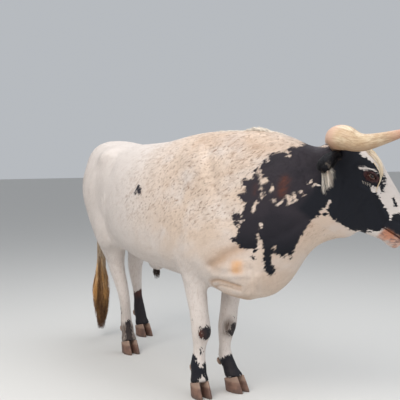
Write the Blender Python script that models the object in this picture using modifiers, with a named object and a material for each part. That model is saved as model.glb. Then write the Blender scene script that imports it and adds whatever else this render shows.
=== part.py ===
# Texas longhorn bull, life size, standing with its head turned to its left.
# Metres, +Z up. +X is the way the body faces and +Y its left side. The floor is z = 0.
# Sizes are laid out from the right fore foot (x = 0) and the spine's plane (y = 0), and the
# finished animal is then moved so that the middle of its box stands over the origin.

import math
import random

import bmesh
import bpy
import numpy as np
from mathutils import Matrix, Vector

GAP = 0.0003  # between nodes that touch
SEED = 11

# Head
HEAD_X, HEAD_Y, HEAD_Z = 0.553, 0.298, 1.20  # where the head's own axes start
HEAD_TURN = math.radians(60)  # to the left of the body
HEAD_DIP = math.radians(40)
EYE_ALONG, EYE_OUT, EYE_UP = 0.155, 0.097, 0.133
EYE_RADIUS = 0.0215
LID_RADIUS = 0.0055
LID_HALF_LENGTH, LID_HALF_HEIGHT, LID_SLOPE = 0.0225, 0.0125, 0.10
MOUTH_ALONG, MOUTH_UP = 0.385, -0.014  # corner of the mouth
MOUTH_FRONT = 0.53
LIP_GROOVE = 0.0055

# Feet
HOOF_LENGTH, HOOF_WIDTH, HOOF_HEIGHT = 0.125, 0.056, 0.078
CLEFT = 0.010
CORONET_TILT = math.radians(14)

# Fineness of the flesh
BODY_VOXEL, HEAD_VOXEL = 0.014, 0.0065
BODY_PASSES, HEAD_PASSES = 30, 3
THICK_FROM, THICK_TO = 0.54, 0.80  # heights between which the smoothing of the trunk sets in
EVEN_TRIANGLES = 11500  # of the whole flesh at the head's fineness
FLESH_TRIANGLES = 4950  # once the body behind the head is thinned further

# x, top, bottom, half width, height of the widest point
TRUNK = [
    (-1.485, 1.290, 1.020, 0.045, 1.160),
    (-1.460, 1.345, 0.930, 0.130, 1.140),
    (-1.400, 1.385, 0.850, 0.200, 1.120),
    (-1.300, 1.393, 0.780, 0.245, 1.110),
    (-1.150, 1.380, 0.735, 0.262, 1.090),
    (-1.000, 1.366, 0.705, 0.275, 1.060),
    (-0.850, 1.367, 0.668, 0.300, 1.020),
    (-0.650, 1.377, 0.638, 0.325, 0.985),
    (-0.450, 1.388, 0.628, 0.328, 0.980),
    (-0.250, 1.416, 0.616, 0.305, 0.990),
    (-0.100, 1.433, 0.606, 0.275, 1.000),
    (0.050, 1.438, 0.592, 0.245, 0.980),
    (0.180, 1.436, 0.566, 0.205, 0.950),
    (0.280, 1.430, 0.566, 0.165, 0.900),
    (0.350, 1.420, 0.610, 0.110, 0.850),
]

# along x, across y, heading in degrees, top, bottom, half width, height of the widest point
NECK = [
    (0.020, 0.000, 0, 1.437, 0.640, 0.215, 1.030),
    (0.160, 0.010, 10, 1.438, 0.585, 0.190, 1.010),
    (0.280, 0.040, 24, 1.438, 0.562, 0.168, 1.020),
    (0.385, 0.095, 36, 1.436, 0.582, 0.152, 1.060),
    (0.465, 0.160, 46, 1.404, 0.665, 0.140, 1.100),
    (0.530, 0.235, 54, 1.356, 0.818, 0.126, 1.130),
    (0.580, 0.310, 60, 1.345, 0.866, 0.108, 1.140),
    (0.622, 0.400, 60, 1.250, 0.880, 0.065, 1.080),
    (0.652, 0.460, 60, 1.120, 0.930, 0.030, 1.030),
]

# along, top, bottom, half width, height of the widest point (in the head's own axes)
SKULL = [
    (-0.115, 0.120, 0.000, 0.060, 0.080),
    (-0.080, 0.162, -0.060, 0.085, 0.090),
    (-0.030, 0.206, -0.100, 0.104, 0.100),
    (0.040, 0.232, -0.122, 0.112, 0.110),
    (0.100, 0.240, -0.138, 0.113, 0.120),
    (0.150, 0.235, -0.146, 0.108, 0.130),
    (0.200, 0.217, -0.140, 0.094, 0.120),
    (0.260, 0.197, -0.122, 0.076, 0.100),
    (0.330, 0.173, -0.098, 0.062, 0.080),
    (0.390, 0.152, -0.077, 0.057, 0.065),
    (0.440, 0.131, -0.060, 0.061, 0.055),
    (0.480, 0.108, -0.046, 0.060, 0.050),
    (0.505, 0.084, -0.026, 0.046, 0.040),
    (0.516, 0.060, 0.004, 0.022, 0.032),
]

# height, x, y, half length, half width of each leg, from inside the trunk to the coronet
RIGHT_FORE = [
    (1.240, -0.060, -0.110, 0.090, 0.070),
    (1.120, -0.020, -0.145, 0.140, 0.090),
    (0.980, 0.010, -0.156, 0.160, 0.096),
    (0.860, 0.000, -0.156, 0.142, 0.094),
    (0.750, -0.022, -0.148, 0.114, 0.080),
    (0.660, -0.026, -0.137, 0.090, 0.066),
    (0.560, -0.018, -0.127, 0.071, 0.058),
    (0.460, -0.004, -0.118, 0.058, 0.054),
    (0.400, 0.002, -0.112, 0.057, 0.056),
    (0.345, 0.006, -0.108, 0.057, 0.056),
    (0.295, -0.002, -0.111, 0.045, 0.044),
    (0.250, -0.006, -0.114, 0.038, 0.037),
    (0.205, -0.010, -0.117, 0.042, 0.041),
    (0.170, -0.008, -0.119, 0.048, 0.047),
    (0.120, 0.000, -0.120, 0.046, 0.047),
    (0.080, 0.008, -0.120, 0.051, 0.053),
    (0.040, 0.016, -0.120, 0.050, 0.050),
]
LEFT_FORE = [
    (1.240, -0.060, 0.120, 0.090, 0.070),
    (1.120, -0.020, 0.160, 0.145, 0.092),
    (0.980, 0.020, 0.172, 0.170, 0.100),
    (0.860, 0.010, 0.168, 0.150, 0.096),
    (0.750, -0.025, 0.150, 0.118, 0.080),
    (0.660, -0.034, 0.132, 0.092, 0.066),
    (0.560, -0.036, 0.112, 0.070, 0.056),
    (0.460, -0.034, 0.094, 0.057, 0.052),
    (0.400, -0.034, 0.086, 0.056, 0.054),
    (0.345, -0.036, 0.080, 0.055, 0.053),
    (0.295, -0.044, 0.076, 0.044, 0.043),
    (0.250, -0.048, 0.074, 0.037, 0.036),
    (0.205, -0.046, 0.074, 0.041, 0.040),
    (0.170, -0.038, 0.078, 0.046, 0.045),
    (0.120, -0.014, 0.090, 0.045, 0.045),
    (0.080, 0.008, 0.102, 0.052, 0.053),
    (0.040, 0.024, 0.112, 0.050, 0.050),
]
RIGHT_HIND = [
    (1.300, -1.180, -0.110, 0.110, 0.070),
    (1.200, -1.200, -0.150, 0.195, 0.112),
    (1.060, -1.206, -0.160, 0.216, 0.122),
    (0.930, -1.192, -0.152, 0.194, 0.110),
    (0.800, -1.163, -0.138, 0.165, 0.098),
    (0.690, -1.140, -0.122, 0.122, 0.078),
    (0.600, -1.126, -0.108, 0.084, 0.056),
    (0.530, -1.120, -0.096, 0.075, 0.048),
    (0.480, -1.108, -0.086, 0.069, 0.045),
    (0.420, -1.090, -0.076, 0.052, 0.042),
    (0.350, -1.080, -0.066, 0.043, 0.039),
    (0.270, -1.076, -0.060, 0.039, 0.037),
    (0.215, -1.078, -0.056, 0.042, 0.040),
    (0.175, -1.074, -0.052, 0.047, 0.045),
    (0.125, -1.062, -0.050, 0.045, 0.044),
    (0.080, -1.050, -0.047, 0.051, 0.052),
    (0.040, -1.042, -0.045, 0.049, 0.050),
]
LEFT_HIND = [
    (1.300, -1.180, 0.110, 0.110, 0.070),
    (1.200, -1.210, 0.150, 0.190, 0.105),
    (1.060, -1.240, 0.168, 0.220, 0.125),
    (0.930, -1.270, 0.180, 0.200, 0.123),
    (0.800, -1.330, 0.190, 0.160, 0.105),
    (0.690, -1.395, 0.198, 0.120, 0.082),
    (0.600, -1.455, 0.205, 0.092, 0.062),
    (0.530, -1.498, 0.212, 0.082, 0.051),
    (0.480, -1.512, 0.216, 0.074, 0.047),
    (0.420, -1.512, 0.222, 0.056, 0.044),
    (0.350, -1.508, 0.228, 0.042, 0.037),
    (0.270, -1.502, 0.234, 0.037, 0.034),
    (0.215, -1.498, 0.238, 0.043, 0.040),
    (0.175, -1.492, 0.241, 0.048, 0.045),
    (0.125, -1.478, 0.246, 0.045, 0.044),
    (0.080, -1.464, 0.250, 0.051, 0.052),
    (0.040, -1.456, 0.252, 0.049, 0.050),
]
LEGS = {
    "right_fore": (RIGHT_FORE, -1, math.radians(-4)),
    "left_fore": (LEFT_FORE, 1, math.radians(16)),
    "right_hind": (RIGHT_HIND, -1, math.radians(2)),
    "left_hind": (LEFT_HIND, 1, math.radians(8)),
}
FORE_TOP, HIND_TOP = 0.572, 0.655  # where a leg is parted from the trunk
KNEE_CUT, HOCK_CUT = 0.300, 0.395

# Where the trunk is parted: along x, except for the brisket's roof
LOIN_CUT, RIB_CUT, BRISKET_CUT, BRISKET_ROOF = -0.960, -0.230, 0.090, 0.760
DOCK_CUT, DOCK_OVERHANG = -1.497, 0.02
HEAD_CUT, HEAD_CUT_LEAN = -0.055, math.radians(8)  # how far behind the poll, and the plane's lean
NECK_CUT, NECK_CUT_TURN, NECK_CUT_LEAN = (0.215, 0, 1.02), math.radians(18), math.radians(-14)

# forward, outward, height, radius of a horn, from inside the poll to the tip
HORN = [
    (0.056, 0.030, 1.350, 0.045),
    (0.040, 0.130, 1.384, 0.050),
    (0.016, 0.235, 1.390, 0.056),
    (0.036, 0.325, 1.388, 0.057),
    (0.117, 0.374, 1.367, 0.039),
    (0.293, 0.385, 1.411, 0.018),
    (0.390, 0.374, 1.432, 0.0135),
    (0.500, 0.346, 1.468, 0.009),
    (0.590, 0.312, 1.508, 0.0035),
]
LEFT_HORN_DROP, LEFT_HORN_SWEEP = 0.010, 0.070  # it hangs lower and sweeps further forward

# x, y, height, radius of the tail's dock
TAIL = [
    (-1.390, 0.000, 1.345, 0.046),
    (-1.455, 0.000, 1.352, 0.044),
    (-1.510, -0.004, 1.310, 0.038),
    (-1.540, -0.010, 1.220, 0.031),
    (-1.552, -0.018, 1.060, 0.027),
    (-1.550, -0.026, 0.860, 0.024),
    (-1.544, -0.030, 0.700, 0.021),
    (-1.540, -0.032, 0.560, 0.018),
]

# Ears: root in the head's axes, tip and the way the cup opens told from the poll, and sizes of the leaf
EAR_ROOT, EAR_TIP = (-0.050, 0.086, 0.100), (-0.030, 0.235, 1.236)
EAR_OPENING = (0.55, -0.70, -0.35)  # forward, outward, up
EAR_WIDTH, EAR_CUP, EAR_THICKNESS = 0.088, 0.028, 0.0042

# Long hair: how many locks, and the width and length of one
SWITCH_LOCKS, SWITCH_WIDTH = 16, (0.032, 0.050)
SWITCH_FLOOR = 0.072  # the lowest hair of the tail
FORELOCK_LOCKS, FORELOCK_WIDTH, FORELOCK_LENGTH = 12, 0.034, (0.125, 0.175)
FORELOCK_HALF = 0.068  # half the width of the poll that carries it
SHEATH_LOCKS, SHEATH_LENGTH = 5, (0.045, 0.070)
SHEATH_X, SHEATH_Z = -0.745, 0.635
EAR_LOCKS, EAR_LOCK_LENGTH = 3, 0.070

COATS = {
    "cream": (0.78, 0.70, 0.61, 0.85, 0.0),
    "black_hide": (0.045, 0.042, 0.045, 0.7, 0.0),
    "tawny_hair": (0.62, 0.42, 0.20, 0.6, 0.0),
    "pale_hair": (0.80, 0.70, 0.56, 0.7, 0.0),
    "horn": (0.80, 0.66, 0.50, 0.35, 0.0),
    "hoof": (0.22, 0.15, 0.12, 0.55, 0.0),
    "eye": (0.03, 0.018, 0.014, 0.06, 0.0),
}


def clear_scene():
    for obj in list(bpy.data.objects):
        bpy.data.objects.remove(obj, do_unlink=True)


def new_collection(name):
    collection = bpy.data.collections.new(name)
    bpy.context.scene.collection.children.link(collection)
    return collection


def coat_material(name):
    red, green, blue, roughness, metallic = COATS[name]
    material = bpy.data.materials.new(name)
    material.use_nodes = True
    shader = material.node_tree.nodes["Principled BSDF"]
    shader.inputs["Base Color"].default_value = (red, green, blue, 1)
    shader.inputs["Roughness"].default_value = roughness
    shader.inputs["Metallic"].default_value = metallic
    return material


def new_object(name, bm, collection):
    mesh = bpy.data.meshes.new(name)
    bmesh.ops.recalc_face_normals(bm, faces=bm.faces)
    bmesh.ops.triangulate(bm, faces=bm.faces)
    bm.to_mesh(mesh)
    bm.free()
    obj = bpy.data.objects.new(name, mesh)
    collection.objects.link(obj)
    if collection.hide_render:
        obj.hide_render = True
        obj.display_type = "WIRE"
    return obj


def resampled(rows, count):
    """Rows read at even steps from a smooth curve through the given ones."""
    rows = np.array(rows, float)
    padded = np.vstack([2 * rows[0] - rows[1], rows, 2 * rows[-1] - rows[-2]])
    result = []
    for place in np.linspace(0, len(rows) - 1, count):
        i = min(int(place), len(rows) - 2)
        f = place - i
        a, b, c, d = padded[i : i + 4]
        result.append(
            0.5 * (2 * b + (c - a) * f + (2 * a - 5 * b + 4 * c - d) * f**2 + (3 * b - a - 3 * c + d) * f**3)
        )
    return np.array(result)


def oval(centre, across, upward, half_width, rise, drop, roundness=(1.0, 1.0), sides=28):
    """A closed ring of points with its own rise above and drop below the centre."""
    ring = []
    for k in range(sides):
        angle = 2 * math.pi * k / sides
        c, s = math.cos(angle), math.sin(angle)
        power = roundness[0] if s > 0 else roundness[1]
        reach = rise if s > 0 else drop
        out = half_width * math.copysign(abs(c) ** power, c)
        height = reach * math.copysign(abs(s) ** power, s)
        ring.append(Vector(centre) + Vector(across) * out + Vector(upward) * height)
    return ring


def lofted(name, rings, collection):
    """A closed body through rings that all have the same number of points."""
    bm = bmesh.new()
    rows = [[bm.verts.new(point) for point in ring] for ring in rings]
    for low, high in zip(rows, rows[1:]):
        for k in range(len(low)):
            n = (k + 1) % len(low)
            bm.faces.new((low[k], low[n], high[n], high[k]))
    bm.faces.new(rows[0][::-1])
    bm.faces.new(rows[-1])
    return new_object(name, bm, collection)


def ball(name, centre, radii, turn, collection, segments=20):
    """An ellipsoid with its own axes given by a rotation matrix."""
    bm = bmesh.new()
    bmesh.ops.create_uvsphere(bm, u_segments=segments, v_segments=segments // 2 + 2, radius=1)
    place = Matrix.Translation(Vector(centre)) @ turn.to_4x4() @ Matrix.Diagonal((*radii, 1))
    bmesh.ops.transform(bm, matrix=place, verts=bm.verts)
    return new_object(name, bm, collection)


def tube(name, rows, collection, resolution=3, count=24):
    """A round bar through rows of x, y, z and radius, as a closed mesh."""
    curve = bpy.data.curves.new(name, "CURVE")
    curve.dimensions = "3D"
    curve.bevel_depth = 1
    curve.bevel_resolution = resolution
    curve.use_fill_caps = True
    points = resampled(rows, count)
    spline = curve.splines.new("POLY")
    spline.points.add(len(points) - 1)
    for point, (x, y, z, radius) in zip(spline.points, points):
        point.co = (x, y, z, 1)
        point.radius = max(radius, 0.002)
    guide = bpy.data.objects.new(name + "_guide", curve)
    collection.objects.link(guide)
    graph = bpy.context.evaluated_depsgraph_get()
    mesh = bpy.data.meshes.new_from_object(guide.evaluated_get(graph))
    bm = bmesh.new()
    bm.from_mesh(mesh)
    bmesh.ops.remove_doubles(bm, verts=bm.verts, dist=0.00002)
    bpy.data.objects.remove(guide, do_unlink=True)
    return new_object(name, bm, collection)


def baked(obj):
    """The object with its modifiers applied and only its largest closed surface kept."""
    graph = bpy.context.evaluated_depsgraph_get()
    mesh = bpy.data.meshes.new_from_object(obj.evaluated_get(graph))
    obj.modifiers.clear()
    obj.data = mesh
    keep_largest(obj)
    return obj


def keep_largest(obj):
    bm = bmesh.new()
    bm.from_mesh(obj.data)
    bm.verts.ensure_lookup_table()
    seen, shells = set(), []
    for start in bm.verts:
        if start.index in seen:
            continue
        shell, queue = [], [start]
        seen.add(start.index)
        while queue:
            vert = queue.pop()
            shell.append(vert)
            for edge in vert.link_edges:
                other = edge.other_vert(vert)
                if other.index not in seen:
                    seen.add(other.index)
                    queue.append(other)
        shells.append(shell)
    shells.sort(key=span, reverse=True)
    loose = [vert for shell in shells[1:] for vert in shell]
    bmesh.ops.delete(bm, geom=loose, context="VERTS")
    bmesh.ops.triangulate(bm, faces=bm.faces)
    bm.to_mesh(obj.data)
    bm.free()


def span(shell):
    points = np.array([vert.co for vert in shell])
    return float(np.prod(np.ptp(points, axis=0) + 1e-6))


def blended(name, pieces, voxel, passes, collection):
    """One closed surface round the pieces, with the joins between them smoothed."""
    bm = bmesh.new()
    for piece in pieces:
        bm.from_mesh(piece.data)
        bpy.data.objects.remove(piece, do_unlink=True)
    obj = new_object(name, bm, collection)
    remesh = obj.modifiers.new("Remesh", "REMESH")
    remesh.mode = "VOXEL"
    remesh.voxel_size = voxel
    smooth = obj.modifiers.new("Smooth", "SMOOTH")
    smooth.factor = 0.5
    smooth.iterations = passes
    return baked(obj)


def combine(obj, other, operation, solver="EXACT"):
    """A Boolean with one other object or with a collection, applied."""
    boolean = obj.modifiers.new("Boolean", "BOOLEAN")
    boolean.operation = operation
    boolean.solver = solver
    if isinstance(other, bpy.types.Collection):
        boolean.operand_type = "COLLECTION"
        boolean.collection = other
    else:
        boolean.object = other
    return baked(obj)


def remove(*objects):
    for obj in objects:
        bpy.data.objects.remove(obj, do_unlink=True)


def copied(obj, name, collection):
    twin = obj.copy()
    twin.data = obj.data.copy()
    twin.name = name
    collection.objects.link(twin)
    return twin


def grown(obj, by, collection):
    """A copy whose surface lies further out, for cutting a neighbour clear of it."""
    twin = copied(obj, obj.name + "_grown", collection)
    displace = twin.modifiers.new("Displace", "DISPLACE")
    displace.strength = by
    displace.mid_level = 0
    return baked(twin)


def cleared(obj, neighbours, collection):
    """The object cut back by the gap from each neighbour."""
    for neighbour in neighbours:
        wider = grown(neighbour, GAP, collection)
        combine(obj, wider, "DIFFERENCE")
        remove(wider)
    return obj


def block(name, low, high, collection, turn=None, pivot=(0, 0, 0)):
    """A box between two corners, turned about a pivot."""
    bm = bmesh.new()
    bmesh.ops.create_cube(bm, size=1)
    low, high = Vector(low), Vector(high)
    place = Matrix.Translation((low + high) / 2) @ Matrix.Diagonal((*(high - low), 1))
    if turn is not None:
        place = turn.to_4x4() @ place
    bmesh.ops.transform(bm, matrix=Matrix.Translation(Vector(pivot)) @ place, verts=bm.verts)
    return new_object(name, bm, collection)


def taken(flesh, name, low, high, collection, cutters, turn=None, pivot=(0, 0, 0)):
    """The part of the flesh inside a box, as a new object, parted from the rest by the gap."""
    half = Vector((GAP, GAP, GAP)) / 2
    inner = block(name + "_inner", Vector(low) + half, Vector(high) - half, cutters, turn, pivot)
    outer = block(name + "_outer", Vector(low) - half, Vector(high) + half, cutters, turn, pivot)
    piece = combine(copied(flesh, name, collection), inner, "INTERSECT")
    combine(flesh, outer, "DIFFERENCE")
    remove(inner, outer)
    return piece


def head_axes():
    """The head's directions: along the face to the nose, to its left, and up out of the brow."""
    return Matrix.Rotation(HEAD_TURN, 3, "Z") @ Matrix.Rotation(HEAD_DIP, 3, "Y")


def on_head(along, left, up):
    return Vector((HEAD_X, HEAD_Y, HEAD_Z)) + head_axes() @ Vector((along, left, up))


def beside_head(forward, out, height):
    """A point told from the poll: forward and outward on the level, and its height."""
    flat = Matrix.Rotation(HEAD_TURN, 3, "Z") @ Vector((forward, out, 0))
    return Vector((HEAD_X + flat.x, HEAD_Y + flat.y, height))


def trunk_body(collection):
    rings = []
    for x, top, bottom, width, widest in resampled(TRUNK, 44):
        back = 0.78 + 0.17 * min(max((x + 1.25) / 0.9, 0), 1)
        rise, drop = top - widest, widest - bottom
        rings.append(oval((x, 0, widest), (0, 1, 0), (0, 0, 1), width, rise, drop, (back, 0.86)))
    return lofted("trunk", rings, collection)


def neck_body(collection):
    rings = []
    for x, y, heading, top, bottom, width, widest in resampled(NECK, 30):
        side = math.radians(heading + 90)
        across = (math.cos(side), math.sin(side), 0)
        rise, drop = top - widest, widest - bottom
        rings.append(oval((x, y, widest), across, (0, 0, 1), width, rise, drop, (0.92, 1.15)))
    return lofted("neck", rings, collection)


def skull_body(collection):
    turn = head_axes()
    rings = []
    for along, top, bottom, width, widest in resampled(SKULL, 40):
        centre, rise, drop = on_head(along, 0, widest), top - widest, widest - bottom
        rings.append(oval(centre, turn.col[1], turn.col[2], width, rise, drop, (0.74, 0.95)))
    return lofted("skull", rings, collection)


def leg_body(name, rows, collection):
    rings = []
    for z, x, y, length, width in resampled(rows, 60):
        rings.append(oval((x, y, z), (1, 0, 0), (0, 1, 0), length, width, width, (0.95, 0.95), 20))
    return lofted(name, rings, collection)


def muscles(collection):
    """Swellings that the main bodies don't give: centre, radii and turn about z for each side."""
    forms = [
        ((-1.040, 0.150, 1.270), (0.150, 0.105, 0.075), 8),  # hook bone
        ((-1.410, 0.095, 1.240), (0.060, 0.060, 0.080), 0),  # pin bone
        ((-1.080, 0.185, 0.850), (0.130, 0.085, 0.180), 0),  # stifle
        ((-0.940, 0.150, 0.770), (0.150, 0.060, 0.080), 0),  # flank fold
        ((-0.010, 0.150, 1.120), (0.190, 0.095, 0.240), 0),  # shoulder blade
        ((0.150, 0.115, 0.880), (0.120, 0.095, 0.140), 0),  # point of the shoulder
        ((-0.110, 0.135, 0.780), (0.120, 0.075, 0.110), 0),  # elbow
    ]
    result = []
    for i, (centre, radii, degrees) in enumerate(forms):
        for side in (-1, 1):
            x, y, z = centre
            turn = Matrix.Rotation(math.radians(degrees) * side, 3, "Z")
            result.append(ball(f"muscle_{i}_{side}", (x, y * side, z), radii, turn, collection))
    level = Matrix.Identity(3)
    aslant = Matrix.Rotation(math.radians(23), 3, "Z")
    result.append(ball("brisket", (0.250, 0.020, 0.715), (0.185, 0.110, 0.165), level, collection))
    result.append(ball("crest", (0.300, 0.045, 1.345), (0.200, 0.075, 0.093), aslant, collection))
    result.append(ball("sheath", (SHEATH_X, 0.000, SHEATH_Z), (0.110, 0.038, 0.062), level, collection))
    return result


def face_forms(collection):
    """Brow, cheeks, lips and muzzle of the head."""
    turn = head_axes()
    paired = [
        ((0.150, 0.078, 0.145), (0.062, 0.034, 0.044)),  # rim of the eye socket
        ((0.120, 0.048, -0.030), (0.110, 0.042, 0.092)),  # cheek
        ((0.300, 0.040, 0.090), (0.110, 0.024, 0.040)),  # side of the nose
        ((0.470, 0.044, 0.082), (0.034, 0.026, 0.034)),  # wing of the nostril
        ((-0.032, 0.080, 0.160), (0.054, 0.055, 0.050)),  # root of the horn
        ((0.440, 0.040, 0.020), (0.070, 0.026, 0.034)),  # upper lip
    ]
    single = [
        ((0.474, 0.000, 0.062), (0.046, 0.060, 0.054)),  # muzzle
        ((0.455, 0.000, -0.040), (0.056, 0.046, 0.028)),  # lower lip and chin
        ((-0.020, 0.000, 0.175), (0.095, 0.090, 0.052)),  # poll
    ]
    result = []
    for i, (place, radii) in enumerate(paired):
        for side in (-1, 1):
            along, left, up = place
            result.append(ball(f"face_{i}_{side}", on_head(along, left * side, up), radii, turn, collection))
    for i, (place, radii) in enumerate(single):
        result.append(ball(f"face_{i}", on_head(*place), radii, turn, collection))
    return result


def whole_flesh(collection):
    """Trunk, neck, legs, tail and head as one smooth body."""
    pieces = [trunk_body(collection), neck_body(collection)]
    pieces += [leg_body(name, rows, collection) for name, (rows, _, _) in LEGS.items()]
    pieces += muscles(collection)
    body = blended("body", pieces, BODY_VOXEL, 1, collection)
    soften_trunk(body)
    face = [skull_body(collection), *face_forms(collection)]
    head = blended("head_form", face, HEAD_VOXEL, HEAD_PASSES, collection)
    tail = tube("tail_form", TAIL, collection)
    flesh = blended("flesh", [body, head, tail], HEAD_VOXEL, HEAD_PASSES, collection)
    flesh.data.calc_loop_triangles()
    evenly = flesh.modifiers.new("Thin evenly", "DECIMATE")
    evenly.ratio = EVEN_TRIANGLES / len(flesh.data.loop_triangles)
    mark_behind_head(flesh)
    further = flesh.modifiers.new("Thin the body", "DECIMATE")
    further.ratio = FLESH_TRIANGLES / EVEN_TRIANGLES
    further.vertex_group = "behind_head"
    return baked(flesh)


def soften_trunk(body):
    """Smooths the trunk and neck, and leaves the lower legs their thickness."""
    group = body.vertex_groups.new(name="thick")
    for vert in body.data.vertices:
        weight = (vert.co.z - THICK_FROM) / (THICK_TO - THICK_FROM)
        group.add([vert.index], min(max(weight, 0), 1), "REPLACE")
    smooth = body.modifiers.new("Soften", "SMOOTH")
    smooth.factor = 0.5
    smooth.iterations = BODY_PASSES
    smooth.vertex_group = "thick"
    baked(body)


def mark_behind_head(flesh):
    """Groups the points that lie behind the head, where wider faces do."""
    group = flesh.vertex_groups.new(name="behind_head")
    inward = head_axes().transposed()
    start = Vector((HEAD_X, HEAD_Y, HEAD_Z))
    nape, throat = -0.02, HEAD_X - 0.25
    behind = []
    for vert in flesh.data.vertices:
        if (inward @ (vert.co - start)).x < nape or vert.co.x < throat:
            behind.append(vert.index)
    group.add(behind, 1, "REPLACE")


def claw(name, coronet, heading, side, collection, cutters):
    """One claw of a cloven hoof: flat sole, toe forward, its top cut by the coronet's plane."""
    x, y, _ = coronet
    turn = Matrix.Rotation(heading, 3, "Z")
    rings = []
    levels = ((0.0, 1.0, 0.024), (0.012, 1.0, 0.021), (0.045, 0.93, 0.010), (0.100, 0.80, -0.012))
    for level, grow, shift in levels:
        ring = []
        for k in range(16):
            angle = 2 * math.pi * k / 16
            c, s = math.cos(angle), math.sin(angle)
            forward = c * HOOF_LENGTH / 2 * grow
            width = HOOF_WIDTH / 2 * grow * (1 - 0.30 * max(c, 0) ** 2)
            across = s * width
            if across * side < 0:
                across *= 0.62
            middle = side * (CLEFT / 2 + HOOF_WIDTH * 0.31 + 0.004 * max(c, 0))
            ring.append(Vector((x, y, 0)) + turn @ Vector((forward + shift, across + middle, level)))
        rings.append(ring)
    obj = lofted(name, rings, collection)
    cut_at_coronet(obj, coronet, heading, above=True, cutters=cutters)
    return obj


def cut_at_coronet(obj, coronet, heading, above, cutters):
    """Cuts away what lies above the coronet's plane, or below it, less half the gap."""
    turn = Matrix.Rotation(heading, 3, "Z") @ Matrix.Rotation(-CORONET_TILT, 3, "Y")
    x, y, z = coronet
    reach = 0.12
    low, high = (-reach, -reach, -GAP / 2), (reach, reach, reach)
    if not above:
        low, high = (-reach, -reach, -reach), (reach, reach, GAP / 2)
    cutter = block("coronet_cutter", low, high, cutters, turn, (x, y, z))
    combine(obj, cutter, "DIFFERENCE")
    remove(cutter)


def feet(legs, collection, cutters):
    """Claws and dewclaws of every foot, with the leg above trimmed to meet them."""
    made = {}
    for name, (rows, side, heading) in LEGS.items():
        lower = legs[name + "_lower_leg"]
        x, y = rows[-2][1], rows[-2][2]
        coronet = (x, y, HOOF_HEIGHT)
        cut_at_coronet(lower, coronet, heading, above=False, cutters=cutters)
        for which, hand in (("outer", side), ("inner", -side)):
            label = f"{name}_{which}_claw"
            made[label] = claw(label, coronet, heading, hand, collection, cutters)
        turn = Matrix.Rotation(heading, 3, "Z")
        for which, hand in (("outer", side), ("inner", -side)):
            label = f"{name}_{which}_dewclaw"
            height, ankle_x, ankle_y = rows[-4][0] - 0.028, rows[-4][1], rows[-4][2]
            guess = Vector((ankle_x, ankle_y, height)) + turn @ Vector((-0.060, hand * 0.030, 0))
            _, surface, _, _ = lower.closest_point_on_mesh(guess)
            slant = turn @ Matrix.Rotation(math.radians(-35), 3, "Y")
            place = surface + turn @ Vector((-0.004, 0, -0.003))
            horn = ball(label, place, (0.015, 0.013, 0.023), slant, collection, 6)
            made[label] = cleared(horn, (lower,), cutters)
    return made


def legs_taken(flesh, collection, cutters):
    """Upper and lower part of each leg, parted level from the trunk and at the knee or hock."""
    parts = {}
    for name, (rows, side, _) in LEGS.items():
        fore = "fore" in name
        top, middle = (FORE_TOP, KNEE_CUT) if fore else (HIND_TOP, HOCK_CUT)
        foot_x = rows[-2][1]
        back = foot_x - (0.16 if fore else 0.30)
        front = foot_x + (0.085 if fore else 0.16)
        low_y, high_y = (-0.40, 0.0) if side < 0 else (0.0, 0.40)
        for part, bottom, roof in (("lower_leg", -0.05, middle), ("upper_leg", middle, top)):
            label = f"{name}_{part}"
            low, high = (back, low_y, bottom), (front, high_y, roof)
            parts[label] = taken(flesh, label, low, high, collection, cutters)
    return parts


def trunk_parts(flesh, collection, cutters):
    """Head, neck, brisket, chest, barrel, rump and tail out of what the legs left."""
    rear, front, aside, ground, sky = -1.9, 0.9, 0.8, 0.3, 1.7
    slant = Matrix.Rotation(HEAD_TURN, 3, "Z") @ Matrix.Rotation(HEAD_CUT_LEAN, 3, "Y")
    shoulder_line = Matrix.Rotation(NECK_CUT_TURN, 3, "Z") @ Matrix.Rotation(NECK_CUT_LEAN, 3, "Y")
    cuts = [
        ("head", (0, -0.45, -0.60), (front, 0.45, 0.60), slant, beside_head(HEAD_CUT, 0, 1.15)),
        ("brisket", (BRISKET_CUT, -aside, ground), (front, aside, BRISKET_ROOF), None, (0, 0, 0)),
        ("neck", (0, -aside, -0.70), (front, aside, 0.80), shoulder_line, NECK_CUT),
        ("tail_dock", (rear, -0.2, TAIL[-1][2] + DOCK_OVERHANG), (DOCK_CUT, 0.10, sky), None, (0, 0, 0)),
        ("rump", (rear, -aside, ground), (LOIN_CUT, aside, sky), None, (0, 0, 0)),
        ("barrel", (LOIN_CUT, -aside, ground), (RIB_CUT, aside, sky), None, (0, 0, 0)),
    ]
    parts = {}
    for name, low, high, turn, pivot in cuts:
        parts[name] = taken(flesh, name, low, high, collection, cutters, turn, pivot)
    keep_largest(flesh)
    parts["chest"] = flesh
    return parts


def eyes_and_lids(head, collection, cutters):
    """Each eyeball in a socket of its own, between an upper and a lower lid."""
    made = {}
    for name, side in (("right_eye", -1), ("left_eye", 1)):
        centre = on_head(EYE_ALONG, EYE_OUT * side, EYE_UP)
        lids = lid_ring(name, centre, side, collection)
        combine(head, lids, "UNION")
        remove(lids)
        level = Matrix.Identity(3)
        socket = ball(name + "_socket", centre, [EYE_RADIUS + GAP] * 3, level, cutters, 14)
        combine(head, socket, "DIFFERENCE")
        remove(socket)
        made[name] = ball(name, centre, [EYE_RADIUS - 0.0004] * 3, level, collection, 14)
    return made


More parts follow.
